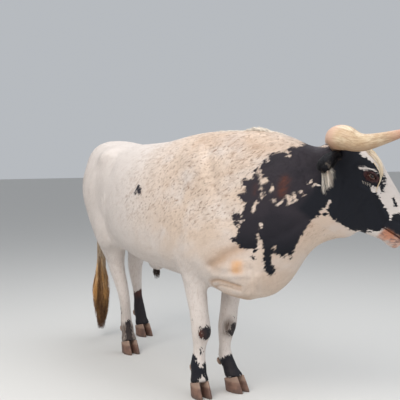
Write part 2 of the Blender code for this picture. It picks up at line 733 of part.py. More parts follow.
def lid_ring(name, centre, side, collection):
    """The rims of both lids as one almond-shaped ring round the eyeball."""
    turn = head_axes()
    rim = EYE_RADIUS + LID_RADIUS * 0.35
    curve = bpy.data.curves.new(name + "_lids", "CURVE")
    curve.dimensions = "3D"
    curve.bevel_depth = LID_RADIUS
    curve.bevel_resolution = 1
    spline = curve.splines.new("POLY")
    steps = 14
    spline.points.add(steps - 1)
    spline.use_cyclic_u = True
    for k in range(steps):
        angle = 2 * math.pi * k / steps
        along = LID_HALF_LENGTH * math.cos(angle)
        up = LID_HALF_HEIGHT * math.sin(angle) * (1.15 if math.sin(angle) > 0 else 0.95)
        out = math.sqrt(max(rim**2 - along**2 - up**2, 0.00002))
        place = centre + turn @ Vector((along, side * out, up + LID_SLOPE * along))
        spline.points[k].co = (*place, 1)
    guide = bpy.data.objects.new(name + "_lids", curve)
    collection.objects.link(guide)
    graph = bpy.context.evaluated_depsgraph_get()
    bm = bmesh.new()
    bm.from_mesh(bpy.data.meshes.new_from_object(guide.evaluated_get(graph)))
    bmesh.ops.remove_doubles(bm, verts=bm.verts, dist=0.00002)
    remove(guide)
    return new_object(name + "_lid_ring", bm, collection)


def carve_muzzle(head, cutters):
    """The line of the mouth round the muzzle, and both nostrils."""
    place = on_head
    corner, front, count = MOUTH_ALONG, MOUTH_FRONT, 9
    rows = []
    for k in range(2 * count + 1):
        angle = math.pi * k / (2 * count)
        along = corner + (front - corner) * math.sin(angle)
        left = 0.075 * math.cos(angle)
        guess = place(along, left, MOUTH_UP + 0.016 * math.sin(angle))
        _, surface, _, _ = head.closest_point_on_mesh(guess)
        rows.append((*surface, LIP_GROOVE * (0.5 + 0.6 * math.sin(angle))))
    groove = tube("mouth_cutter", rows, cutters, 1, 22)
    combine(head, groove, "DIFFERENCE")
    remove(groove)
    for side in (-1, 1):
        turn = head_axes() @ Matrix.Rotation(math.radians(28) * side, 3, "Z") @ Matrix.Rotation(0.5, 3, "Y")
        _, surface, _, _ = head.closest_point_on_mesh(place(0.497, side * 0.046, 0.094))
        nostril = ball("nostril_cutter", surface, (0.017, 0.007, 0.011), turn, cutters, 12)
        combine(head, nostril, "DIFFERENCE")
        remove(nostril)


def horns(head, collection, cutters):
    """Each horn sits in a socket of the poll, one gap wider than itself."""
    made = {}
    for name, side in (("right_horn", -1), ("left_horn", 1)):
        made[name] = tube(name, horn_rows(side, 0), collection, 3, 20)
        socket = tube(name + "_socket", horn_rows(side, GAP), cutters, 3, 20)
        combine(head, socket, "DIFFERENCE")
        remove(socket)
    return made


def horn_rows(side, wider):
    """Points and radii along a horn; the left one starts further forward and hangs lower towards its tip."""
    rows = []
    for i, (forward, out, height, radius) in enumerate(HORN):
        lower, ahead = 0, 0
        if side > 0:
            lower = LEFT_HORN_DROP * min(i / 4, 1)
            ahead = LEFT_HORN_SWEEP * min(i / 2, 1) * min((len(HORN) - 1 - i) / 3, 1)
        start = wider if i == 0 else 0
        place = beside_head(forward + ahead, (out - start) * side, height - lower)
        rows.append((*place, radius + wider * 1.06))
    return rows


def ears(neighbours, collection, cutters, locks):
    """Cupped leaves that hang out and back from under the horns, with hair in the cup."""
    made = {}
    rng = random.Random(SEED + 1)
    for name, side in (("right_ear", -1), ("left_ear", 1)):
        root = on_head(EAR_ROOT[0], EAR_ROOT[1] * side, EAR_ROOT[2])
        tip = beside_head(EAR_TIP[0], EAR_TIP[1] * side, EAR_TIP[2])
        axis = (tip - root).normalized()
        forward, out, up = EAR_OPENING
        opening = Matrix.Rotation(HEAD_TURN, 3, "Z") @ Vector((forward, out * side, up))
        opening = (opening - axis * opening.dot(axis)).normalized()
        across = axis.cross(opening)
        rings = []
        for f in np.linspace(0, 1, 11):
            width = 0.020 + (EAR_WIDTH - 0.020) * math.sin(math.pi * min(f * 0.98, 1) ** 0.85) ** 0.8
            width *= 1 if f < 0.9 else 0.75
            cup = EAR_CUP * (1 - f) ** 0.7 + 0.004
            centre = root + axis * (tip - root).length * f - opening * 0.02 * math.sin(math.pi * f)
            rings.append(cup_ring(centre, across, opening, width, cup, EAR_THICKNESS))
        ear = lofted(name, rings, collection)
        for k in range(EAR_LOCKS):
            f = 0.30 + 0.45 * k / (EAR_LOCKS - 1)
            start = root + (tip - root) * f - opening * (0.026 + 0.010 * (k % 2))
            fall = Vector((0, 0, -1)) + opening * 0.5 + axis * 0.35
            length = EAR_LOCK_LENGTH - 0.004 * k
            lock(f"ear_lock_{k}", start, fall, length, 0.026, axis * 0.012, locks, rng, 0.4, 4)
        fused(ear, locks)
        made[name] = cleared(ear, neighbours, cutters)
    return made


def cup_ring(centre, across, opening, width, cup, thick):
    """A crescent: its outer arc, then back along its inner arc."""
    outer, inner = [], []
    steps = 8
    for k in range(steps + 1):
        angle = math.pi * (k / steps - 0.5) * 1.15
        side, back = math.sin(angle), math.cos(angle)
        edge = centre + across * side * width / 2 - opening * (back - 0.3) * cup
        outer.append(edge)
        shrink = 1 - thick * 1.6 / max(width, 0.01)
        inner.append(centre + across * side * width / 2 * shrink - opening * ((back - 0.3) * cup - thick))
    return outer + inner[::-1]


def lock(name, root, direction, length, width, bend, collection, rng, flat=0.36, steps=5):
    """A flat tapered lock that bends towards a second direction."""
    direction, bend = Vector(direction).normalized(), Vector(bend)
    aside = Vector((rng.uniform(-1, 1), rng.uniform(-1, 1), rng.uniform(-0.3, 0.3)))
    side = direction.cross(aside).normalized()
    thick = direction.cross(side).normalized()
    rings = []
    for k in range(steps + 1):
        f = k / steps
        swell = (0.70 + 0.55 * f) if f < 0.45 else (1 - f) ** 0.75 * 1.30 + 0.03
        centre = Vector(root) + direction * length * f + bend * f * f
        w, t = width / 2 * swell, width / 2 * flat * swell
        rings.append([centre + side * w, centre + thick * t, centre - side * w, centre - thick * t])
    return lofted(name, rings, collection)


def fused(core, locks):
    """A core with every lock in the collection joined to it."""
    combine(core, locks, "UNION")
    remove(*list(locks.objects))
    return core


def tail_switch(collection, locks):
    """The long hair at the tail's end, hanging from a core that carries on from the dock."""
    rng = random.Random(SEED)
    x, y, z, radius = TAIL[-1]
    core_rows = [
        (x, y, z + DOCK_OVERHANG - GAP, radius),
        (x, y, z - 0.05, radius * 1.25),
        (x, y, z - 0.20, radius),
        (x, y, z - 0.36, 0.006),
    ]
    core = tube("tail_switch", core_rows, collection, 1, 8)
    for k in range(SWITCH_LOCKS):
        angle = 2 * math.pi * (k * 0.382 + rng.uniform(-0.05, 0.05))
        f = (k + 0.5) / SWITCH_LOCKS
        start = Vector((x + 0.010 * math.cos(angle), y + 0.010 * math.sin(angle), z - 0.020 - 0.22 * f))
        out = Vector((math.cos(angle), math.sin(angle), 0))
        length = (start.z - SWITCH_FLOOR) * rng.uniform(0.72, 1.0)
        bend = out * rng.uniform(-0.035, 0.005)
        direction = Vector((0, 0, -1)) + out * rng.uniform(0.08, 0.20)
        lock(f"switch_lock_{k}", start, direction, length, rng.uniform(*SWITCH_WIDTH), bend, locks, rng, 0.45)
    return fused(core, locks)


def forelock(neighbours, collection, cutters, locks):
    """Hair that falls from the poll over the brow, on a thin cap of hair."""
    rng = random.Random(SEED + 2)
    axes = head_axes()
    cap = ball("forelock", on_head(0.010, 0, 0.196), (0.085, 0.066, 0.052), axes, collection, 16)
    for k in range(FORELOCK_LOCKS):
        aside = 2 * (k + 0.5) / FORELOCK_LOCKS - 1
        left = FORELOCK_HALF * aside
        start = on_head(0.015 + 0.025 * (k % 3), left, 0.238 - 0.034 * aside**2)
        direction = axes @ Vector((1, 0.34 * aside + rng.uniform(-0.10, 0.10), -0.16 * aside**2))
        bend = axes @ Vector((0, rng.uniform(-0.010, 0.010), -0.030))
        length = rng.uniform(*FORELOCK_LENGTH)
        lock(f"forelock_{k}", start, direction, length, FORELOCK_WIDTH, bend, locks, rng, 0.5, 5)
    fused(cap, locks)
    return cleared(cap, neighbours, cutters)


def sheath_tuft(barrel, collection, cutters, locks):
    """The dark tuft that hangs from the sheath under the belly."""
    rng = random.Random(SEED + 3)
    place = (SHEATH_X, 0, SHEATH_Z - 0.052)
    core = ball("sheath_tuft", place, (0.032, 0.023, 0.020), Matrix.Identity(3), collection, 10)
    for k in range(SHEATH_LOCKS):
        angle = 2 * math.pi * k / SHEATH_LOCKS
        out = Vector((math.cos(angle), math.sin(angle), 0))
        start = Vector((SHEATH_X, 0, SHEATH_Z - 0.054)) + out * 0.014
        fall = Vector((0, 0, -1)) + out * 0.35
        length = rng.uniform(*SHEATH_LENGTH)
        lock(f"sheath_lock_{k}", start, fall, length, 0.024, out * -0.012, locks, rng, 0.5, 4)
    fused(core, locks)
    return cleared(core, (barrel,), cutters)


def main():
    clear_scene()
    parts = new_collection("Texas longhorn")
    cutters = new_collection("Cutters")
    locks = new_collection("Locks")
    cutters.hide_render = True
    locks.hide_render = True

    flesh = whole_flesh(parts)
    nodes = legs_taken(flesh, parts, cutters)
    nodes.update(trunk_parts(flesh, parts, cutters))
    nodes.update(feet(nodes, parts, cutters))
    head = nodes["head"]
    carve_muzzle(head, cutters)
    nodes.update(eyes_and_lids(head, parts, cutters))
    pair = horns(head, parts, cutters)
    nodes.update(pair)
    nodes.update(ears((head, nodes["neck"], *pair.values()), parts, cutters, locks))
    nodes["forelock"] = forelock((head, *pair.values()), parts, cutters, locks)
    nodes["tail_switch"] = tail_switch(parts, locks)
    nodes["sheath_tuft"] = sheath_tuft(nodes["barrel"], parts, cutters, locks)

    looks = {name: coat_material(name) for name in COATS}
    for name, obj in nodes.items():
        obj.data.materials.clear()
        obj.data.materials.append(looks[coat_of(name)])
        obj.name = name
    centre_over_origin(nodes.values())


def coat_of(name):
    if "claw" in name:
        return "hoof"
    if "horn" in name:
        return "horn"
    if "eye" in name:
        return "eye"
    if "ear" in name:
        return "black_hide"
    if "switch" in name:
        return "tawny_hair"
    if "tuft" in name:
        return "black_hide"
    if "forelock" in name:
        return "pale_hair"
    return "black_hide" if name == "neck" else "cream"


def centre_over_origin(objects):
    """Moves the animal so that its box is centred over the origin, with its soles on the floor."""
    points = np.array([vert.co for obj in objects for vert in obj.data.vertices])
    low, high = points.min(axis=0), points.max(axis=0)
    shift = Matrix.Translation((-(low[0] + high[0]) / 2, -(low[1] + high[1]) / 2, -low[2]))
    for obj in objects:
        obj.data.transform(shift)


main()
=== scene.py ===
"""The looks of a life-size texas longhorn bull: skin, coat, horns, hooves, eyes and hair over the solids.

Working coordinates are those the animal is laid out in: x = 0 at its right fore foot, y = 0 in the spine's
plane, +X the way the body faces, +Y its left side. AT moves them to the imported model's frame.
"""

import math

import bmesh
import bpy
import numpy as np
from mathutils import Matrix, Vector
from mathutils.bvhtree import BVHTree


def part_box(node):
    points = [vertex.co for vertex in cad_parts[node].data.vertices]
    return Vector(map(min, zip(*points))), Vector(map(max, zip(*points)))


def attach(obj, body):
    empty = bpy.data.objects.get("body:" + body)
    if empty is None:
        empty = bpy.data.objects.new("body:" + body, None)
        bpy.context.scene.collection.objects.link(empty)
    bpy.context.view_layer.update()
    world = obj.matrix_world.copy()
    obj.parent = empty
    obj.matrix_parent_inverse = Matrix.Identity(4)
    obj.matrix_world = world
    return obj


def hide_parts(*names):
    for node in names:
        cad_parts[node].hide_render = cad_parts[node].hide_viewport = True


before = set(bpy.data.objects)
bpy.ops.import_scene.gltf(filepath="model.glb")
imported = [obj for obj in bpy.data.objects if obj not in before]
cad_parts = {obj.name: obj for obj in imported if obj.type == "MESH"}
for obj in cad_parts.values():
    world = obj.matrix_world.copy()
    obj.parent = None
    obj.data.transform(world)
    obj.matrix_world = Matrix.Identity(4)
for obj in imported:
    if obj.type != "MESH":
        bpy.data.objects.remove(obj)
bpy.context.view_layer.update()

# The head's own axes: along the face, to its left, up out of the brow
HEAD_TURN, HEAD_DIP = math.radians(60), math.radians(40)
HEAD = np.array(Matrix.Rotation(HEAD_TURN, 3, "Z") @ Matrix.Rotation(HEAD_DIP, 3, "Y"))
HEAD_AT = np.array([0.553, 0.298, 1.20])
EYE = np.array([0.155, 0.097, 0.133])
EYE_RADIUS = 0.0230
MOUTH_CORNER, MOUTH_FRONT, MOUTH_UP = 0.385, 0.53, -0.014

BODY_VOXEL, HOOF_VOXEL = 0.009, 0.0022
FLESH_SWELL, COAT_DEPTH = 0.0006, 0.003
TUFT_WIDTH, TUFT_SUNK, PATCH_WIDTH = 0.0025, 0.0006, 0.003
STRAND_SIDES, HORN_SIDES, EAR_RINGS, EAR_ARC = 3, 56, 44, 26
SIDES = [(-1, "right"), (1, "left")]

FLESH = ["head", "neck", "brisket", "chest", "barrel", "rump", "tail_dock"]
FEET = ["right_fore", "left_fore", "right_hind", "left_hind"]
FLESH += [f"{foot}_{part}_leg" for foot in FEET for part in ("upper", "lower")]

# Middle line of the body seen from above, from the tail to the poll: x, y
SPINE_ROWS = [
    (-1.7, 0), (-1.2, 0), (-0.6, 0), (-0.1, 0), (0.02, 0), (0.16, 0.01), (0.28, 0.04), (0.385, 0.095),
    (0.465, 0.16), (0.53, 0.235), (0.58, 0.31), (0.83, 0.743), (0.98, 1.003),
]


# Numbers and meshes
def box_middle(node):
    low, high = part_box(node)
    return np.array((low + high) / 2)


def on_head(along, left, up):
    return HEAD_AT + HEAD @ np.array([along, left, up], float)


AT = box_middle("right_eye") - on_head(EYE[0], -EYE[1], EYE[2])


def in_head(points):
    """Working points told in the head's axes."""
    return (points - HEAD_AT) @ HEAD


def on_face(points):
    """How far each point belongs to the head rather than to the neck or the brisket below it, from 0 to 1."""
    local = in_head(points)
    jaw = -0.20 + 0.28 * np.clip(local[:, 0] - 0.1, 0, None)
    return smoothstep(-0.06, 0.0, local[:, 0]) * smoothstep(jaw - 0.035, jaw, local[:, 2])


def unbent(points):
    """Place along the middle line, distance to its left, and height: the body as if it stood straight."""
    best = np.full(len(points), 1e9)
    result = np.array(points, float)
    for start, place, way, length in zip(SPINE, SPINE_PLACE, SPINE_WAY, SPINE_STEP):
        off = points[:, :2] - start
        t = np.clip(off @ way, 0, length)
        far = ((off - t[:, None] * way) ** 2).sum(1)
        left = way[0] * off[:, 1] - way[1] * off[:, 0]
        near = far < best
        best[near] = far[near]
        result[near, 0] = place + t[near]
        result[near, 1] = np.sign(left[near]) * np.sqrt(far[near])
    return result


def heading_at(place):
    """Direction of the middle line at a place along it, as x and y."""
    middle = SPINE_PLACE[:-1] + SPINE_STEP / 2
    return unit(np.stack([np.interp(place, middle, SPINE_WAY[:, k]) for k in (0, 1)], 1))


def resampled(rows, count):
    """Rows read at even steps from a smooth curve through the given ones."""
    rows = np.array(rows, float)
    padded = np.vstack([2 * rows[0] - rows[1], rows, 2 * rows[-1] - rows[-2]])
    result = []
    for place in np.linspace(0, len(rows) - 1, count):
        i = min(int(place), len(rows) - 2)
        f = place - i
        a, b, c, d = padded[i : i + 4]
        curve = 2 * b + (c - a) * f + (2 * a - 5 * b + 4 * c - d) * f**2 + (3 * b - a - 3 * c + d) * f**3
        result.append(0.5 * curve)
    return np.array(result)


SPINE = resampled(SPINE_ROWS, 73)
SPINE_WAY = np.diff(SPINE, axis=0)
SPINE_STEP = np.linalg.norm(SPINE_WAY, axis=1)
SPINE_WAY /= SPINE_STEP[:, None]
SPINE_PLACE = np.concatenate([[0], np.cumsum(SPINE_STEP)]) + SPINE[0, 0]


def bell(value, reach):
    """1 at zero, falling away smoothly on both sides."""
    return np.exp(-((value / reach) ** 2))


def smoothstep(low, high, value):
    t = np.clip((value - low) / (high - low), 0, 1)
    return t * t * (3 - 2 * t)


def unit(vectors):
    return vectors / (np.linalg.norm(vectors, axis=-1, keepdims=True) + 1e-12)


def new_mesh(name, points, faces):
    """An object from working points and an array of faces that all have the same number of corners."""
    mesh = bpy.data.meshes.new(name)
    count, corners = faces.shape
    mesh.vertices.add(len(points))
    mesh.vertices.foreach_set("co", (points + AT).astype(np.float32).ravel())
    mesh.loops.add(count * corners)
    mesh.loops.foreach_set("vertex_index", faces.astype(np.int32).ravel())
    mesh.polygons.add(count)
    mesh.polygons.foreach_set("loop_start", np.arange(0, count * corners, corners, dtype=np.int32))
    mesh.polygons.foreach_set("use_smooth", np.ones(count, bool))
    mesh.update(calc_edges=True)
    obj = bpy.data.objects.new(name, mesh)
    bpy.context.scene.collection.objects.link(obj)
    return obj


def finished(obj, material, slot, *nodes):
    """Gives a piece its material and the body it rides on, and hides the nodes whose place it takes; the slot
    is not used.
    """
    obj.data.materials.clear()
    obj.data.materials.append(material)
    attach(obj, "root")
    if nodes:
        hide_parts(*nodes)


def write_attribute(mesh, name, values, domain="POINT"):
    kind, field = ("FLOAT_VECTOR", "vector") if values.ndim == 2 else ("FLOAT", "value")
    attribute = mesh.attributes.new(name, kind, domain)
    attribute.data.foreach_set(field, values.astype(np.float32).ravel())


def write_places(mesh, places):
    """Writes each corner's place on the unwrap."""
    layer = mesh.uv_layers.new(name="OFBake")
    layer.uv.foreach_set("vector", places.astype(np.float32).ravel())


def tube_grid(rings, sides):
    """Ring and place in the ring for every quad of a tube."""
    return np.meshgrid(np.arange(rings - 1), np.arange(sides), indexing="ij")


def tube_quads(rings, sides):
    k, j = tube_grid(rings, sides)
    a, b = k * sides + j, k * sides + (j + 1) % sides
    return np.stack([a, b, b + sides, a + sides], -1).reshape(-1, 4)


def point_normals(points, faces):
    """Normals at the points of a mesh of quads."""
    a, b, c, d = (points[faces[:, k]] for k in range(4))
    cross = np.cross(c - a, d - b)
    corner, share = faces.ravel(), np.repeat(cross, 4, axis=0)
    return unit(np.stack([np.bincount(corner, share[:, k], len(points)) for k in range(3)], 1))


def smoothed(points, edges, weight, passes):
    """Moves every point towards the middle of its neighbours, as far as its weight says, again and again."""
    a = np.concatenate([edges[:, 0], edges[:, 1]])
    b = np.concatenate([edges[:, 1], edges[:, 0]])
    degree = np.bincount(a, minlength=len(points))[:, None]
    for _ in range(passes):
        total = np.stack([np.bincount(a, points[b, k], len(points)) for k in range(3)], 1)
        points = points + (total / degree - points) * (0.5 * weight)[:, None]
    return points


def distance_to_line(points, path):
    """Distance from each point to a path, and how far along the path the nearest place is, from 0 to 1."""
    best = np.full(len(points), 1e9)
    where = np.zeros(len(points))
    steps = len(path) - 1
    for k in range(steps):
        a, way = path[k], path[k + 1] - path[k]
        t = np.clip((points - a) @ way / (way @ way + 1e-12), 0, 1)
        far = np.linalg.norm(points - a - t[:, None] * way, axis=1)
        near = far < best
        best[near] = far[near]
        where[near] = (k + t[near]) / steps
    return best, where


def path_distance(points, path):
    """Distance from each point to a path, or to the one place that is given instead."""
    return distance_to_line(points, np.array(path if len(path) > 1 else path * 2))[0]


def raised(points, forms):
    """How far rounded ridges and furrows, told by path, reach and rise, lift each point."""
    return sum(rise * bell(path_distance(points, path), reach) for path, reach, rise in forms)


def mesh_points(bm):
    return np.array([v.co for v in bm.verts]) - AT


def welded(node):
    """A copy of a node's mesh with its corners joined, in triangles."""
    bm = bmesh.new()
    bm.from_mesh(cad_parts[node].data)
    bmesh.ops.remove_doubles(bm, verts=bm.verts, dist=0.00001)
    bmesh.ops.triangulate(bm, faces=bm.faces)
    return bm


def remeshed(obj, voxel, passes):
    """The object's shape made anew of even quads, then smoothed."""
    remesh = obj.modifiers.new("Remesh", "REMESH")
    remesh.mode = "VOXEL"
    remesh.voxel_size = voxel
    remesh.use_smooth_shade = True
    if passes:
        obj.modifiers.new("Smooth", "SMOOTH").iterations = passes
    graph = bpy.context.evaluated_depsgraph_get()
    return bpy.data.meshes.new_from_object(obj.evaluated_get(graph))


# Skin
def flesh_mesh():
    """The nodes of flesh, swollen until they meet, as one mesh of even quads."""
    points, corners, start = [], [], 0
    for name in [*FLESH, "right_eye", "left_eye"]:
        bm = welded(name)
        bm.normal_update()
        bm.verts.ensure_lookup_table()
        points.append(np.array([v.co + v.normal * FLESH_SWELL for v in bm.verts]))
        corners.append(np.array([[v.index for v in f.verts] for f in bm.faces]) + start)
        start += len(bm.verts)
        bm.free()
    obj = new_mesh("flesh", np.concatenate(points) - AT, np.concatenate(corners))
    mesh = remeshed(obj, BODY_VOXEL, 0)
    bpy.data.objects.remove(obj, do_unlink=True)
    bm = bmesh.new()
    bm.from_mesh(mesh)
    largest_only(bm)
    return bm


def largest_only(bm):
    """Leaves only the largest of the mesh's shells."""
    bm.verts.ensure_lookup_table()
    seen, shells = set(), []
    for start in bm.verts:
        if start in seen:
            continue
        shell, queue = [start], [start]
        seen.add(start)
        while queue:
            for edge in queue.pop().link_edges:
                for other in edge.verts:
                    if other not in seen:
                        seen.add(other)
                        shell.append(other)
                        queue.append(other)
        shells.append(shell)
    shells.sort(key=len)
    bmesh.ops.delete(bm, geom=[v for shell in shells[:-1] for v in shell], context="VERTS")


def refine(bm, inside):
    """Splits the edges whose ends both pass the test."""
    bm.verts.ensure_lookup_table()
    chosen = inside(mesh_points(bm))
    edges = [e for e in bm.edges if chosen[e.verts[0].index] and chosen[e.verts[1].index]]
    bmesh.ops.subdivide_edges(bm, edges=edges, cuts=1, use_grid_fill=True)
    bm.verts.index_update()


def arrays_of(bm):
    """Points, quads (a triangle repeats its last corner) and edges of a mesh."""
    bm.verts.index_update()
    bmesh.ops.triangulate(bm, faces=[f for f in bm.faces if len(f.verts) > 4])
    faces = ([v.index for v in f.verts] for f in bm.faces)
    quads = np.array([face + face[-1:] * (4 - len(face)) for face in faces])
    edges = np.array([[e.verts[0].index, e.verts[1].index] for e in bm.edges])
    return mesh_points(bm), quads, edges


def folded(local):
    """Points in the head's axes with its left side laid over its right, out of the middle positive."""
    return np.stack([local[:, 0], np.abs(local[:, 1]), local[:, 2]], 1)


def eye_distance(points):
    local = in_head(points)
    return np.minimum(*(np.linalg.norm(local - EYE * (1, side, 1), axis=1) for side in (-1, 1)))


def near_mouth(points):
    local = in_head(points)
    return (local[:, 0] > 0.36) & (local[:, 2] < 0.17)


# Forms of the trunk and neck: side (-1 right, 1 left, 0 both), path in the side plan, reach, rise
BODY_FORMS = [
    (0, [
        (0.012, 1.22), (0.012, 1.119), (0.003, 1.04), (0, 0.907), (-0.019, 0.797), (-0.02, 0.7),
    ], 0.03, -0.0038),
    (0, [(-0.03, 0.96), (-0.03, 0.8)], 0.06, 0.003), (0, [(0.065, 0.95), (0.055, 0.78)], 0.06, 0.006),
    (0, [(0.06, 1.34), (0.13, 1.16), (0.19, 0.96)], 0.026, 0.0045),
    (0, [(0.12, 1.33), (0.2, 1.14), (0.26, 0.98)], 0.024, -0.004), (0, [(0.21, 0.905)], 0.055, 0.006),
    (0, [(-0.86, 1.215)], 0.075, -0.009), (0, [(-1.045, 1.28)], 0.045, 0.003),
    (0, [(-1.045, 1.28), (-1.12, 1.2), (-1.15, 1.08)], 0.03, 0.004), (0, [(-1.41, 1.24)], 0.036, 0.003),
    (0, [(-1.37, 1.15), (-1.34, 0.95), (-1.26, 0.8)], 0.018, -0.005), (0, [(-1.01, 0.84)], 0.05, 0.006),
    (0, [(-0.94, 0.76), (-0.91, 0.9), (-0.88, 1.04)], 0.016, 0.005),
    (0, [(-0.98, 0.78), (-0.955, 0.92), (-0.93, 1.03)], 0.016, -0.004),
    (0, [(0.17, 0.735), (0.226, 0.775), (0.256, 0.807), (0.306, 0.838)], 0.017, -0.0065),
    (0, [(0.23, 0.735), (0.293, 0.745), (0.33, 0.775)], 0.022, 0.0055),
    (0, [(0.137, 0.645), (0.17, 0.66), (0.205, 0.666), (0.245, 0.659), (0.29, 0.642)], 0.01, -0.009),
    (0, [(0.18, 0.692), (0.25, 0.692), (0.32, 0.705)], 0.016, 0.005),
    (0, [(0.15, 0.622), (0.2, 0.64), (0.244, 0.637), (0.29, 0.622)], 0.006, -0.0045),
    (0, [(0.2, 0.612), (0.26, 0.602), (0.34, 0.606)], 0.022, 0.006),
    (0, [(0.344, 0.735), (0.338, 0.66), (0.32, 0.59)], 0.009, -0.0045),
    (0, [(0.39, 0.72), (0.382, 0.65), (0.36, 0.587)], 0.009, -0.0045),
    (0, [(0.447, 0.74), (0.44, 0.67), (0.425, 0.61)], 0.009, -0.0035),
    (0, [(0.368, 0.7), (0.355, 0.6)], 0.012, 0.005),
    (0, [(0.62, 1.03), (0.5, 0.93), (0.34, 0.84)], 0.022, -0.005),
    (1, [(0.3, 1.34), (0.32, 1.1), (0.33, 0.85)], 0.011, -0.006),
    (1, [(0.37, 1.34), (0.39, 1.1), (0.4, 0.85)], 0.011, -0.007),
    (1, [(0.44, 1.32), (0.46, 1.1), (0.47, 0.88)], 0.011, -0.007),
    (1, [(0.51, 1.3), (0.53, 1.12), (0.54, 0.92)], 0.01, -0.006),
    (-1, [(0.56, 1.31), (0.6, 1.15), (0.62, 1.03)], 0.014, -0.003),
    (0, [(-0.1, 0.7), (-0.45, 0.72), (-0.75, 0.745)], 0.02, -0.003),
]
RIBS = [-0.24 - 0.072 * k for k in range(8)]
BODY_FORMS += [(0, [(x + 0.03, 1.20), (x, 1.05), (x - 0.035, 0.86)], 0.018, 0.0008) for x in RIBS]

# Forms of the legs: path in working coordinates, reach, rise
LEG_FORMS = [
    ([(0.058, -0.112, 0.385), (0.062, -0.11, 0.335)], 0.026, 0.0045),
    ([(0.028, 0.078, 0.385), (0.024, 0.074, 0.335)], 0.026, 0.0045), ([(-0.045, -0.11, 0.345)], 0.02, 0.005),
    ([(-0.085, 0.082, 0.345)], 0.02, 0.005), ([(0, -0.152, 0.29), (-0.008, -0.15, 0.2)], 0.007, -0.004),
    ([(0, -0.076, 0.29), (-0.008, -0.08, 0.2)], 0.007, -0.004),
    ([(-0.042, 0.112, 0.29), (-0.045, 0.11, 0.2)], 0.007, -0.004),
    ([(-0.042, 0.036, 0.29), (-0.045, 0.038, 0.2)], 0.007, -0.004),
    ([(-1.175, -0.09, 0.5), (-1.165, -0.085, 0.44)], 0.02, 0.006),
    ([(-1.585, 0.215, 0.5), (-1.565, 0.22, 0.44)], 0.02, 0.006),
    ([(-1.115, -0.128, 0.6), (-1.125, -0.118, 0.5)], 0.012, -0.006),
    ([(-1.485, 0.25, 0.6), (-1.515, 0.252, 0.5)], 0.012, -0.006),
    ([(-1.095, -0.103, 0.4), (-1.085, -0.094, 0.24)], 0.008, -0.004),
    ([(-1.515, 0.262, 0.4), (-1.508, 0.268, 0.24)], 0.008, -0.004),
    ([(0.03, -0.165, 0.62), (0.02, -0.165, 0.48)], 0.018, -0.003),
    ([(0.055, -0.12, 0.62), (0.05, -0.115, 0.46)], 0.02, 0.003),
    ([(-0.05, -0.11, 0.14), (-0.04, -0.118, 0.128)], 0.014, 0.004),
]

# Forms of the head, on both sides: path of along, out, up; reach, rise
FACE_FORMS = [
    ([(0.235, 0.085, 0.085), (0.3, 0.07, 0.05), (0.35, 0.058, 0.03)], 0.013, 0.0055),
    ([(0.255, 0.08, 0.05), (0.33, 0.06, 0.01)], 0.014, -0.004),
    ([(0.14, 0.105, 0.06), (0.2, 0.095, 0.07), (0.245, 0.085, 0.085)], 0.012, 0.004),
    ([(0.075, 0.105, 0.025), (0.12, 0.098, -0.06), (0.14, 0.09, -0.125)], 0.014, 0.005),
    ([(0.205, 0.088, 0.03), (0.215, 0.075, -0.05), (0.2, 0.07, -0.12)], 0.014, -0.0055),
    ([(0.245, 0.07, -0.02), (0.33, 0.055, -0.06)], 0.012, 0.003),
    ([(0.055, 0.105, 0.11), (0.05, 0.1, 0.165)], 0.018, -0.005),
    ([(0.23, 0.052, 0.2), (0.33, 0.04, 0.17), (0.42, 0.034, 0.14)], 0.011, 0.003),
    ([(0.225, 0.074, 0.15), (0.32, 0.06, 0.12), (0.41, 0.052, 0.1)], 0.016, -0.004),
    ([(0.18, 0.06, 0.215), (0.12, 0.055, 0.23)], 0.02, 0.002),
    ([(0.395, 0.058, 0.045), (0.44, 0.062, 0.06)], 0.009, -0.0025),
    ([(0.47, 0.058, 0.105), (0.49, 0.05, 0.112)], 0.01, 0.003),
    ([(0.452, 0.064, 0.06), (0.48, 0.064, 0.058), (0.5, 0.05, 0.066)], 0.01, 0.003),
    ([(0.36, 0.052, -0.02), (0.35, 0.052, -0.036), (0.352, 0.048, -0.05)], 0.007, -0.003),
    ([(0.372, 0.054, 0.01), (0.366, 0.056, 0.026)], 0.006, -0.0025),
]


def pressed(points, quads, moves):
    return points + point_normals(points, quads) * moves[:, None]


def with_body_forms(points, quads):
    plan = unbent(points)
    away = smoothstep(0.03, 0.08, np.abs(plan[:, 1])) * (1 - on_face(points))
    trunk = away * smoothstep(0.54, 0.60, points[:, 2])
    moves = raised(points, LEG_FORMS)
    for side, *form in BODY_FORMS:
        here = side == 0 or plan[:, 1] * side > 0
        moves += raised(plan[:, [0, 2]], [form]) * trunk * here
    return pressed(points, quads, moves)


def with_face_forms(points, quads):
    return pressed(points, quads, raised(folded(in_head(points)), FACE_FORMS) * on_face(points))


LIPS_CORNER = (MOUTH_CORNER - 0.004, 0.064, MOUTH_UP)


def above_lips(local):
    """Height over the line between the lips, which rises a little from the mouth's corner to its front."""
    ahead = (local[:, 0] - LIPS_CORNER[0]) / (MOUTH_FRONT - 0.018 - MOUTH_CORNER)
    return local[:, 2] - MOUTH_UP - 0.016 * np.clip(ahead, 0, 1)


NOSTRIL = np.array([(0.512, 0.030, 0.072), (0.504, 0.045, 0.092), (0.488, 0.055, 0.108)])


